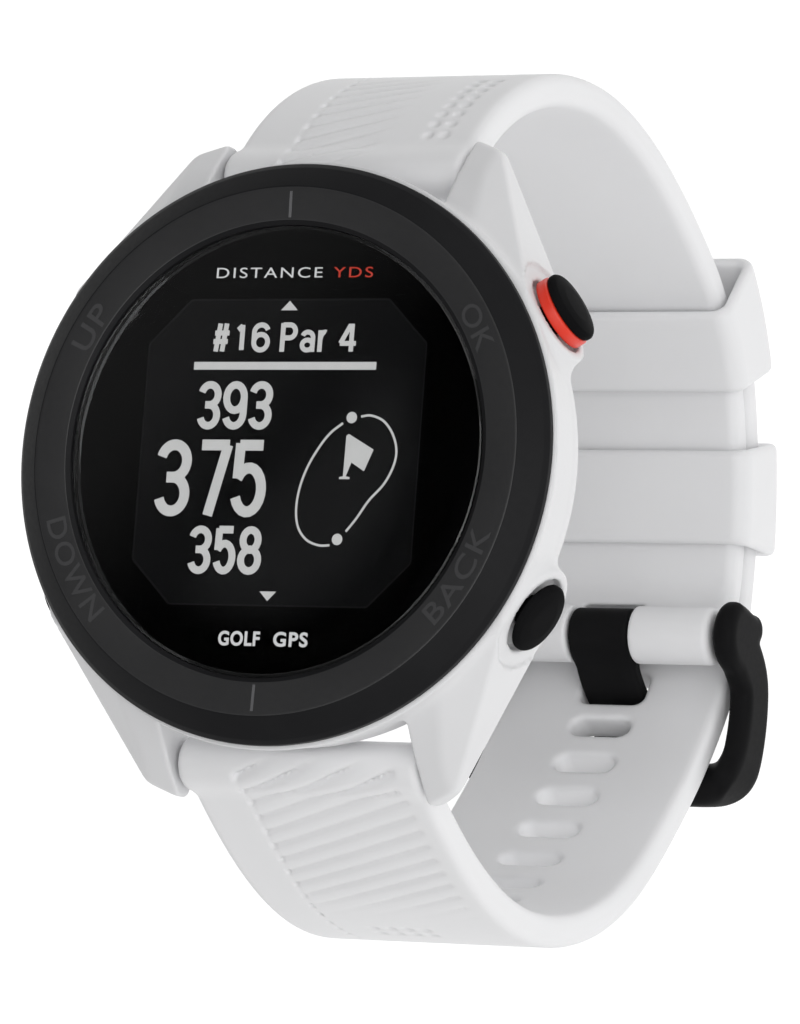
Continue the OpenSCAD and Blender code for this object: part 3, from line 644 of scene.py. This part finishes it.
def text_solid(text, box, z0, z1, bold=0.0, spacing=1.0):
    """Thin solid of a text, scaled to fill box (x0, x1, y0, y1)."""
    cu = bpy.data.curves.new("text", "FONT")
    cu.body, cu.space_character, cu.resolution_u = text, spacing, 6
    tmp = bpy.data.objects.new("text", cu)
    bpy.context.scene.collection.objects.link(tmp)
    for o in bpy.context.selected_objects:
        o.select_set(False)
    tmp.select_set(True)
    bpy.context.view_layer.objects.active = tmp
    bpy.ops.object.convert(target="CURVE")
    cu = tmp.data
    keys = ("co", "handle_left", "handle_right")
    shapes = []
    for s in cu.splines:
        got = {key: np.zeros(3 * len(s.bezier_points)) for key in keys}
        for key in keys:
            s.bezier_points.foreach_get(key, got[key])
        shapes.append(got)
    co = np.concatenate([g["co"].reshape(-1, 3) for g in shapes])
    lo, hi = co.min(0), co.max(0)
    x0, x1, y0, y1 = box
    sx, sy = (x1 - x0 - 2 * bold) / (hi[0] - lo[0]), (y1 - y0 - 2 * bold) / (hi[1] - lo[1])
    for s, got in zip(cu.splines, shapes):
        for p in s.bezier_points:
            p.handle_left_type = p.handle_right_type = "FREE"
        for key in keys:
            v = (got[key].reshape(-1, 3) - lo) * (sx, sy, 0) + (x0 + bold, y0 + bold, 0)
            s.bezier_points.foreach_set(key, v.ravel())
    cu.offset, cu.extrude, cu.fill_mode = bold, (z1 - z0) / 2, "BOTH"
    cu.dimensions = "2D"
    bpy.context.view_layer.update()
    dg = bpy.context.evaluated_depsgraph_get()
    me = bpy.data.meshes.new_from_object(tmp.evaluated_get(dg))
    pts = np.array([v.co for v in me.vertices], float).reshape(-1, 3)
    pts[:, 2] += (z0 + z1) / 2
    faces = [tuple(p.vertices) for p in me.polygons]
    bpy.data.objects.remove(tmp)
    bpy.data.meshes.remove(me)
    return pts, faces


def stroke(points, width, z0, z1, closed=False):
    """Thin solid of constant width along a line of points."""
    p = np.asarray(points, float)
    step_in = p - np.roll(p, 1, 0) if closed else np.diff(p, axis=0, prepend=2 * p[:1] - p[1:2])
    step_out = np.roll(p, -1, 0) - p if closed else np.diff(p, axis=0, append=2 * p[-1:] - p[-2:-1])
    step_in /= np.linalg.norm(step_in, axis=1)[:, None]
    step_out /= np.linalg.norm(step_out, axis=1)[:, None]
    mid = step_in + step_out
    mid /= np.linalg.norm(mid, axis=1)[:, None]
    side = np.column_stack([-mid[:, 1], mid[:, 0]])
    side *= (width / 2 / np.maximum((mid * step_in).sum(1), 0.4))[:, None]
    n = len(p)
    rows = [np.column_stack([q, np.full(n, z)]) for z in (z0, z1) for q in (p - side, p + side)]
    faces = []
    for k in range(n if closed else n - 1):
        m = (k + 1) % n
        faces += [(k, n + k, n + m, m), (2 * n + k, 2 * n + m, 3 * n + m, 3 * n + k),
                  (k, m, 2 * n + m, 2 * n + k), (n + m, n + k, 3 * n + k, 3 * n + m)]
    if not closed:
        faces += [(0, 2 * n, 3 * n, n), (n - 1, 2 * n - 1, 4 * n - 1, 3 * n - 1)]
    return np.concatenate(rows), faces


def bend(cx, cy, rx, ry, a0, a1, n=20):
    """Points of an elliptic arc from one angle to another, degrees."""
    t = np.radians(np.linspace(a0, a1, n))
    return [(cx + rx * math.cos(a), cy + ry * math.sin(a)) for a in t]


# Strokes of each glyph in a unit box: (points, closed)
GLYPHS = {
    "1": [([(1, 0), (1, 1)], False), ([(0, 0.80), (1, 0.97)], False)],
    "3": [(bend(0.5, 0.755, 0.5, 0.245, 165, -90) + [(0.25, 0.51)], False),
          ([(0.25, 0.51)] + bend(0.5, 0.255, 0.5, 0.255, 90, -165), False)],
    "4": [([(0.66, 1), (0, 0.26)], False), ([(-0.03, 0.26), (1.08, 0.26)], False),
          ([(0.76, 1.03), (0.76, -0.06)], False)],
    "5": [([(0.97, 1), (0.04, 1)], False), ([(0.07, 1.03), (0.03, 0.50)], False),
          (bend(0.48, 0.33, 0.52, 0.33, 150, -160), False)],
    "6": [(bend(0.5, 0.31, 0.5, 0.31, 0, 342), True), ([(0, 0.34)] + bend(0.5, 0.70, 0.5, 0.30, 180, 20), False)],
    "7": [([(-0.08, 1), (1.04, 1)], False), ([(0.98, 1.0), (0.34, -0.06)], False)],
    "8": [(bend(0.5, 0.755, 0.44, 0.245, 0, 342), True), (bend(0.5, 0.265, 0.5, 0.265, 0, 342), True)],
    "9": [(bend(0.5, 0.69, 0.5, 0.31, 0, 342), True), ([(1, 0.66)] + bend(0.5, 0.30, 0.5, 0.30, 0, -160), False)],
    "#": [([(0.16, -0.06), (0.38, 1.06)], False), ([(0.60, -0.06), (0.82, 1.06)], False),
          ([(-0.04, 0.34), (0.96, 0.34)], False), ([(0.04, 0.68), (1.04, 0.68)], False)],
    "P": [([(0, -0.07), (0, 1.07)], False), ([(0, 1)] + bend(0.52, 0.74, 0.48, 0.26, 90, -90) + [(0, 0.48)], False)],
    "a": [([(1, -0.1)] + bend(0.5, 0.70, 0.5, 0.30, 0, 160), False), (bend(0.5, 0.28, 0.5, 0.28, 0, 342), True)],
    "r": [([(0, -0.1), (0, 1.1)], False), (bend(0.75, 0.45, 0.75, 0.55, 175, 75), False)],
}


def glyph_solid(glyphs, y0, y1, z0, z1, width):
    """Thin solid of glyphs made of strokes, each in its own box: (glyph, x0, x1)."""
    parts = []
    for g, x0, x1 in glyphs:
        for points, closed in GLYPHS[g]:
            q = np.array(points) * (x1 - x0 - width, y1 - y0 - width) + (x0 + width / 2, y0 + width / 2)
            parts.append(stroke(q, width, z0, z1, closed))
    return joined(parts)


def smooth_line(points, n=12):
    """Smooth line through points."""
    p = np.asarray(points, float)
    p = np.concatenate([[2 * p[0] - p[1]], p, [2 * p[-1] - p[-2]]])
    out = []
    for i in range(1, len(p) - 2):
        for t in np.linspace(0, 1, n, endpoint=False):
            a, b, c, d = p[i - 1], p[i], p[i + 1], p[i + 2]
            out.append(0.5 * (2 * b + (c - a) * t + (2 * a - 5 * b + 4 * c - d) * t * t
                              + (3 * b - a - 3 * c + d) * t ** 3))
    out.append(p[-2])
    return out


def dot(x, y, r, z0, z1):
    """Thin round disc."""
    n = 32
    turn = [2 * math.pi * i / n for i in range(n)]
    return slab([(x + r * math.cos(t), y + r * math.sin(t)) for t in turn], z0, z1)


BEHIND_GREEN = [(6.49, 2.67), (7.31, 2.74), (8.33, 2.34), (9.13, 1.39), (9.53, 0.19), (9.37, -1.0), (8.71, -2.3),
                (7.61, -3.51), (6.73, -4.81), (5.94, -5.81)]
FRONT_GREEN = [(4.71, -6.83), (3.83, -6.84), (2.81, -6.45), (2.07, -5.56), (1.79, -4.26), (1.94, -2.66),
               (2.47, -1.05), (3.33, 0.46), (4.13, 1.46), (5.06, 2.17)]
image = [
    glyph_solid([("#", -6.2, -4.64), ("1", -4.26, -3.52), ("6", -2.92, -1.40), ("P", -0.57, 0.83)],
                7.4, 9.65, *IMAGE, 0.38),
    glyph_solid([("a", 1.06, 2.28), ("r", 2.51, 3.35)], 7.4, 9.1, *IMAGE, 0.36),
    glyph_solid([("4", 4.18, 5.7)], 7.4, 9.65, *IMAGE, 0.36),
    slab([(-7.5, 6.12), (7.4, 6.12), (7.4, 6.7), (-7.5, 6.7)], *IMAGE),
    glyph_solid([("3", -6.95, -5.04), ("9", -4.88, -2.87), ("3", -2.74, -0.8)], 1.65, 5.27, *IMAGE, 0.56),
    glyph_solid([("3", -10.0, -7.07), ("7", -6.55, -3.72), ("5", -3.66, -0.8)], -4.85, 0.9, *IMAGE, 0.8),
    glyph_solid([("3", -6.8, -4.91), ("5", -4.69, -2.87), ("8", -2.71, -0.75)], -9.1, -5.5, *IMAGE, 0.56),
    slab([(-0.68, 10.55), (0.68, 10.55), (0, 11.25)], *IMAGE),
    slab([(-0.68, -10.3), (0, -11.0), (0.68, -10.3)], *IMAGE),
    stroke(smooth_line(BEHIND_GREEN), 0.17, *IMAGE),
    stroke(smooth_line(FRONT_GREEN), 0.17, *IMAGE),
    dot(5.74, 2.59, 0.42, *IMAGE), dot(5.29, -6.39, 0.42, *IMAGE),
    slab([(5.60, -1.75), (5.98, -0.72), (7.04, -1.36), (7.69, 0.24), (5.62, 1.37), (5.42, 1.25), (5.38, -1.75),
          (5.08, -1.80), (5.08, -1.95), (5.92, -1.95), (5.92, -1.80)], *IMAGE),
]
pts, faces = joined(image)
# The picture under the lens glows: painted light, not a lamp.
obj_from("display_picture", pts, faces, "case", MAT["lcd_painted_glow"], smooth=False)
PRINTED = (LENS_LOW - 0.005, LENS_LOW - 0.001)
# The words printed under the lens glow: painted light, not a lamp.
pts, faces = joined([text_solid("DISTANCE", (-6.2, 2.5, 12.97, 13.75), *PRINTED, spacing=1.2),
                     text_solid("GOLF", (-3.75, -0.35, -14.35, -13.25), *PRINTED, bold=0.045, spacing=1.1),
                     text_solid("GPS", (0.75, 3.55, -14.35, -13.25), *PRINTED, bold=0.045, spacing=1.15)])
obj_from("lens_words", pts, faces, "case", MAT["print"], smooth=False)
pts, faces = text_solid("YDS", (3.4, 6.6, 12.97, 13.75), *PRINTED, spacing=1.2)
obj_from("lens_words_red", pts, faces, "case", MAT["print_red_painted_glow"], smooth=False)


def ring_height(r):
    """Top of the bezel's inner ring at a radius."""
    return BEZEL_TOP - 0.12 + (r - LENS_R - 0.4) * 0.12 / (RIDGE_R - LENS_R - 0.4)


def ring_label(text, angle, tops_out, size, length, bold):
    """Text bent along the bezel's inner ring. size is (inner radius, outer radius)."""
    p, f = text_solid(text, (-length / 2, length / 2, size[0], size[1]), 0, 0.02, bold=bold, spacing=1.1)
    mid = (size[0] + size[1]) / 2
    if tops_out:
        r, t = p[:, 1], math.radians(angle) - p[:, 0] / mid
    else:
        r, t = size[0] + size[1] - p[:, 1], math.radians(angle) + p[:, 0] / mid
    z = ring_height(r) - 0.008 + p[:, 2]
    return np.stack([r * np.cos(t), r * np.sin(t), z], 1), f


LABEL = (17.45, 19.05)        # inner and outer radius of the labels
labels = joined([ring_label(text, BUTTONS[text.lower()], tops_out, LABEL, length, 0.02)
                 for text, tops_out, length in (("UP", True, 3.6), ("OK", True, 3.6), ("DOWN", False, 8.4),
                                                ("BACK", False, 7.6))])
obj_from("bezel_labels", *labels, "case", MAT["label"], smooth=False)
marks = []
for a in (90, 270):
    quad = [(17.3, -0.11), (19.25, -0.11), (19.25, 0.11), (17.3, 0.11)]
    p, f = slab(quad, 0, 0.02)
    r, t = p[:, 0], math.radians(a)
    x, y = r * math.cos(t) - p[:, 1] * math.sin(t), r * math.sin(t) + p[:, 1] * math.cos(t)
    marks.append((np.stack([x, y, ring_height(r) - 0.008 + p[:, 2]], 1), f))
obj_from("bezel_index", *joined(marks), "case", MAT["index"], smooth=False)

# ---------------------------------------------------------------- buttons

STEM_R, STEM_END, SEAL_AT, CLIP_AT = 1.15, 17.75, 20.3, 18.6
for key, angle in BUTTONS.items():
    base = BOSS_FACE + (0.95 if key == "ok" else 0.0)
    outline = fillet([
        (0, STEM_END), (0.95, STEM_END), (0.95, CLIP_AT - 0.02), (0.75, CLIP_AT - 0.02), (0.75, CLIP_AT + 0.37),
        (STEM_R, CLIP_AT + 0.37), (STEM_R, SEAL_AT - 0.3), (0.68, SEAL_AT - 0.3), (0.68, SEAL_AT + 0.3),
        (STEM_R, SEAL_AT + 0.3), (STEM_R, base), (2.62, base), (2.7, base + 0.12), (2.7, base + 0.42),
        (2.5, base + 0.66), (1.5, base + 0.81), (0, base + 0.85)],
        [0, 0.15, 0, 0, 0, 0.05, 0, 0, 0, 0.05, 0.1, 0.08, 0.1, 0.25, 0.3, 2.0, 0])
    pts, faces = revolve(outline, 96)
    o = clean(obj_from(key + "_cap", on_button(pts, angle), faces, key + "_key", MAT["button"], sharp=50))
    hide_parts(key + "_button")
outline = fillet([(2.78, BOSS_FACE + 0.02), (2.78, BOSS_FACE + 0.92), (1.17, BOSS_FACE + 0.92),
                  (1.17, BOSS_FACE + 0.02)], [0.12, 0.22, 0, 0])
pts, faces = revolve(outline, 96)
ring = clean(obj_from("ok_accent_ring", on_button(pts, BUTTONS["ok"]), faces, "ok_key", MAT["red"], sharp=50))
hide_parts("ok_button_ring")

# ---------------------------------------------------------------- straps

SLOT_PITCH, SLOT_L, SLOT_W, TONGUE_AT = 4.4, 5.2, 2.0, 68.0
SLOTS = [TONGUE_AT + i * SLOT_PITCH for i in list(range(-8, 0)) + list(range(1, 6))]


def rib_depth(s, x, upper):
    """How far the outer face dips at the ribbed panel, its edge line and its dashes."""
    lean = 0.42 if upper else -0.44
    s = s + (0.3 if upper else 0.5)
    u = (s - lean * (x + 5.1)) / RIB
    valley = 1 - np.abs(np.sin(math.pi * u))
    if upper:
        area = step(-5.2, -4.9, x) * (1 - step(-0.5, 3.5, x)) * step(-1.5, 0.0, s) * (1 - step(12.0, 17.0, s))
        deep = 0.26
    else:
        area = step(-5.2, -4.9, x) * (1 - step(7.6, 8.4, x)) * step(-1.5, 0.0, s) * (1 - step(13.0, 19.0, s))
        deep = 0.28 + 0.45 * np.exp(-np.square(np.maximum(s + 0.5, 0) / 1.6))
    ribs = deep * area * valley ** 1.6
    line_x = -5.15 - 0.35 * step(8.0, 20.0, s)
    line = np.exp(-np.square((x - line_x) / 0.13)) * (1 - step(24.0, 27.0, s)) * step(-1.0, 0.0, s)
    v0 = 1 - np.abs(np.sin(math.pi * (s - lean * (x + 5.1)) / RIB))
    dashes = line * (0.08 + 0.34 * step(0.25, 0.75, v0))
    return ribs + dashes


def dimples(s, x, rows, depth=0.28, r=0.42):
    """Small round dents, as on a golf ball."""
    out = 0.0
    for a, b in rows:
        out = out + depth * np.exp(-np.square(np.hypot(s - a, x - b) / r) ** 2)
    return out


UPPER_DOTS = [(3.3 + 1.45 * i, 5.55 + j * 1.35) for i in range(8) for j in range(2)]
LOWER_DOTS = [(20.9 + 1.45 * j, -2.2 + 1.45 * i) for i in range(4) for j in range(2)]


def strap_field(route, upper):
    length = route.length
    (hy, hz), (my, mz) = route.axes_at_start()

    def field(s, x, n):
        section = rbox2(x, n, STRAP_W / 2, STRAP_T / 2, 0.95)
        if upper:
            plan = np.maximum(-s, s - length)
        else:
            plan = np.maximum(rbox2(s - length / 2 + 10, x, length / 2 + 10, STRAP_W / 2, 4.5), -s)
        d = smax(section, plan, 0.5)
        eye = both(np.hypot(s, n) - 2.0, np.abs(x) - STRAP_W / 2, 0.6)
        d = smin(d, eye, 0.9)
        if upper:
            roll = both(np.hypot(s - length, n) - 2.4, np.abs(x) - STRAP_W / 2, 0.6)
            d = smin(d, roll, 0.9)
        top = step(0.3, 1.0, n)
        d = d + top * (rib_depth(s, x, upper) + dimples(s, x, UPPER_DOTS if upper else LOWER_DOTS))
        # bore of the bar and window of its lever
        d = np.maximum(d, 0.85 - np.hypot(s, n))
        down, over = -(hz * s + mz * n), hy * s + my * n
        d = smax(d, -np.maximum(rbox2(x - 5.55, over, 1.65, 0.8, 0.3), -down), 0.1)
        if upper:
            d = np.maximum(d, 0.96 - np.hypot(s - length, n))
            y, z = route.place(s, n)
            notch = np.maximum(rbox2(x, y + 6.35, 2.8, 3.75, 0.5), np.abs(s - length) - 7)
            d = smax(d, -notch, 0.3)
        else:
            for at in SLOTS:
                hole = np.hypot(np.maximum(np.abs(x) - (SLOT_L - SLOT_W) / 2, 0), s - at) - SLOT_W / 2
                d = np.where(np.abs(s - at) < 2.0, smax(d, -hole, 0.55), d)
            hole = rbox2(s - TONGUE_AT, x, 1.7, 2.85, 0.9)
            d = smax(d, -hole, 0.5)
        return d

    return field


def strap(name, route, upper, node):
    lo, hi = (-2.6, -10.3, -2.7), (route.length + (2.9 if upper else 0.6), 10.3, 2.7)
    v, f = surface(strap_field(route, upper), lo, hi, refine((0.23, 0.23, 0.23)))
    y, z = route.place(v[:, 0], v[:, 2])
    if route.side > 0:
        f = f[:, ::-1]
    o = obj_from(name, np.stack([v[:, 1], y, z], 1), f, "strap_loop", MAT["strap"])
    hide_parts(node)
    return o


strap("strap_long_upper", UPPER, True, "strap_upper")
strap("strap_long_lower", LOWER, False, "strap_lower")

# ---------------------------------------------------------------- keepers

KEEPER_HALF, KEEPER_WALL, KEEPER_ROOM = 4.15, 0.95, 0.3
for name, node, body, c, r_mid, a0 in (
        ("keeper_band_inner", "keeper_inner", "inner_keeper", FLAT_C, FLAT_R, 7.2),
        ("keeper_band_outer", "keeper_outer", "outer_keeper", BEND_C, BEND_R, 36.9)):
    half = KEEPER_HALF / r_mid
    low, high = r_mid - STRAP_T / 2 - KEEPER_ROOM, r_mid + STRAP_T / 2 + LAYER + KEEPER_ROOM
    mid, hh = (low + high) / 2, (high - low) / 2

    def keeper_field(x, y, z, c=c, half=half, mid=mid, hh=hh, a0=a0):
        dy, dz = y - c[0], z - c[1]
        rad = np.hypot(dy, dz)
        ang = np.arctan2(dy, -dz) - math.radians(a0)
        side = STRAP_W / 2 + KEEPER_ROOM
        outer = rbox2(rad - mid, x, hh + KEEPER_WALL, side + KEEPER_WALL, 1.5)
        inner = rbox2(rad - mid, x, hh, side, 0.9)
        along = (np.abs(ang) - half) * rad
        return smax(smax(outer, -inner, 0.3), along, 0.7)

    corners = [arc_point(c, r, a0 + k * math.degrees(half)) for r in (low - 1, high + 1) for k in (-1, 0, 1)]
    lo = (-11.6, min(p[0] for p in corners) - 0.8, min(p[1] for p in corners) - 0.8)
    hi = (11.6, max(p[0] for p in corners) + 0.8, max(p[1] for p in corners) + 0.8)
    v, f = surface(keeper_field, lo, hi, refine((0.2, 0.2, 0.2)))
    o = obj_from(name, v, f, body, MAT["strap"])
    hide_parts(node)

# ---------------------------------------------------------------- buckle

ARM = [(*PIN, 222), (-9.5, -56.1, 188), (-16.6, -54.6, 150)]
arm_line = np.concatenate([leg(ARM[0], ARM[1], 10)[0], leg(ARM[1], ARM[2], 10)[0][1:]])
HEEL, CROSS, BOW_END, BOW_CORNER = (-4.3, -55.0), (-17.2, -54.7), -19.35, 4.5


def buckle_field(x, y, z):
    side = polyline(y, z, arm_line, np.full(len(arm_line), 2.4))
    side = smin(side, polyline(y, z, [PIN, HEEL], [2.9, 1.3]), 0.5)
    d = both(side, np.abs(np.abs(x) - 11.42) - 1.08, 0.95)
    bar = np.maximum(np.hypot(y - CROSS[0], z - CROSS[1]) - 1.8, np.abs(x) - 11.2)
    seat = np.maximum(np.abs(x) - 2.95, z - (CROSS[1] - 1.3))
    bar = smax(bar, -seat, 0.3)
    d = smin(d, bar, 1.6)
    d = smax(d, rbox2(x, y - BOW_END - 20, 12.5, 20, BOW_CORNER), 0.5)
    hole = np.maximum(np.hypot(y - PIN[0], z - PIN[1]) - 0.92, np.abs(x) - 11.55)
    return np.maximum(d, -hole)


v, f = surface(buckle_field, (-12.9, -20, -59.2), (12.9, -1.7, -48.6), refine((0.18, 0.18, 0.18)))
o = obj_from("buckle_bow", v, f, "buckle", MAT["buckle"])
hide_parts("buckle_frame")

TONGUE_HALF, HUB_R = 2.63, 2.15
TONGUE = [(-5.2, -51.6, 190), (-10.15, -55.6, 238), (-13.4, -57.5, 178), (-18.9, -56.8, 170)]
tongue_line = np.concatenate([leg(TONGUE[k], TONGUE[k + 1], 10)[0][(1 if k else 0):] for k in range(3)])


def tongue_field(x, y, z):
    plate = polyline(y, z, tongue_line, np.full(len(tongue_line), 0.68))
    d = both(plate, np.abs(x) - TONGUE_HALF, 0.35)
    hub = both(np.hypot(y - PIN[0], z - PIN[1]) - HUB_R, np.abs(x) - TONGUE_HALF, 0.3)
    d = smin(d, hub, 0.9)
    return np.maximum(d, 0.98 - np.hypot(y - PIN[0], z - PIN[1]))


v, f = surface(tongue_field, (-3.1, -20.2, -58.9), (3.1, -2.4, -49.3), refine((0.15, 0.15, 0.15)))
o = obj_from("buckle_prong", v, f, "tongue", MAT["buckle"])
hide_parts("buckle_tongue")

# ---------------------------------------------------------------- stage, light and camera

FLOOR_HALF, FLOOR_DROP = 3.0, 0.0006
floor_z = cad_box[0].z - FLOOR_DROP
mesh = bpy.data.meshes.new("floor")
mesh.from_pydata([(x * FLOOR_HALF, y * FLOOR_HALF, floor_z) for x, y in ((-1, -1), (1, -1), (1, 1), (-1, 1))],
                 [], [(0, 1, 2, 3)])
floor = bpy.data.objects.new("floor", mesh)
bpy.context.scene.collection.objects.link(floor)
m, nt, b = new_material("floor_white")
b.inputs["Base Color"].default_value = (0.15, 0.15, 0.15, 1)
b.inputs["Roughness"].default_value = 0.9
nt.links.new(tint(nt, noise(nt, 4.0, 2), (0.99, 0.99, 0.99), (1, 1, 1)), b.inputs["Emission Color"])
b.inputs["Emission Strength"].default_value = 1.0
mesh.materials.append(m)

world = bpy.data.worlds.new("studio")
bpy.context.scene.world = world
world.use_nodes = True
wt = world.node_tree
wt.nodes.clear()
wout = wt.nodes.new("ShaderNodeOutputWorld")
bg = wt.nodes.new("ShaderNodeBackground")
coord = wt.nodes.new("ShaderNodeTexCoord")


def along_direction(direction, lo, hi, v0, v1):
    """Light that rises from v0 to v1 as the view turns towards a direction."""
    d = wt.nodes.new("ShaderNodeVectorMath")
    d.operation = "DOT_PRODUCT"
    d.inputs[1].default_value = Vector(direction).normalized()
    wt.links.new(coord.outputs["Generated"], d.inputs[0])
    r = wt.nodes.new("ShaderNodeMapRange")
    r.interpolation_type = "SMOOTHSTEP"
    for key, value in (("From Min", lo), ("From Max", hi), ("To Min", v0), ("To Max", v1)):
        r.inputs[key].default_value = value
    wt.links.new(d.outputs["Value"], r.inputs["Value"])
    return r.outputs[0]


def combine(operation, a, b):
    n = wt.nodes.new("ShaderNodeMath")
    n.operation = operation
    wt.links.new(a, n.inputs[0])
    wt.links.new(b, n.inputs[1])
    return n.outputs[0]


# A wide soft sky, dark where the flat lens would mirror it into the camera but for one soft edge
MIRROR = (-0.446, 0.139, 0.885)      # what the flat lens mirrors into the camera
sky = along_direction((0.5, -0.25, 0.75), -0.2, 0.9, 0.13, 0.48)
dark_patch = along_direction(MIRROR, 0.90, 0.955, 1.0, 0.0)
left_glow = along_direction((-0.72, 0.69, 0), 0.395, 0.500, 0.0, 0.20)
near_lens = along_direction(MIRROR, 0.97, 0.99, 0.0, 1.0)
wt.links.new(combine("ADD", combine("MULTIPLY", sky, dark_patch), combine("MULTIPLY", left_glow, near_lens)),
             bg.inputs["Color"])
bg.inputs["Strength"].default_value = 1.0
wt.links.new(bg.outputs[0], wout.inputs[0])


def area(name, direction, distance, width, height, power):
    """A flat light that faces the middle of the watch. Sizes in metres, power in watts."""
    d = Vector(direction).normalized()
    lamp = bpy.data.lights.new(name, "AREA")
    lamp.shape, lamp.size, lamp.size_y, lamp.energy = "RECTANGLE", width, height, power
    o = bpy.data.objects.new(name, lamp)
    bpy.context.scene.collection.objects.link(o)
    o.location = Vector((0, 0, -0.02)) + d * distance
    o.rotation_mode = "QUATERNION"
    o.rotation_quaternion = d.to_track_quat("Z", "Y")


area("key", (0.50, -0.42, 0.80), 0.9, 0.7, 0.7, 1.3)
area("side", (0.60, -0.02, 0.78), 0.9, 0.6, 0.6, 1.8)
area("front", (0.06, -0.10, 0.99), 0.9, 0.4, 0.4, 0.8)
area("top_back", (0.25, 0.9, 0.75), 1.0, 0.9, 0.5, 0.85)
area("left", (-0.9, -0.35, 0.35), 0.9, 0.6, 0.6, 0.5)

cam = bpy.data.cameras.new("camera")
cam.lens, cam.sensor_width, cam.clip_start, cam.clip_end = 213.3, 36.0, 0.01, 20.0
camera = bpy.data.objects.new("camera", cam)
bpy.context.scene.collection.objects.link(camera)
right, up, back = (0.9039, 0.0733, -0.4214), (-0.0107, 0.9888, 0.1490), (0.4276, -0.1302, 0.8945)
position = (0.19822, -0.06157, 0.40364)
camera.matrix_world = Matrix((*zip(right, up, back, position), (0, 0, 0, 1)))
bpy.context.scene.camera = camera
bpy.context.scene.view_settings.view_transform = "Standard"
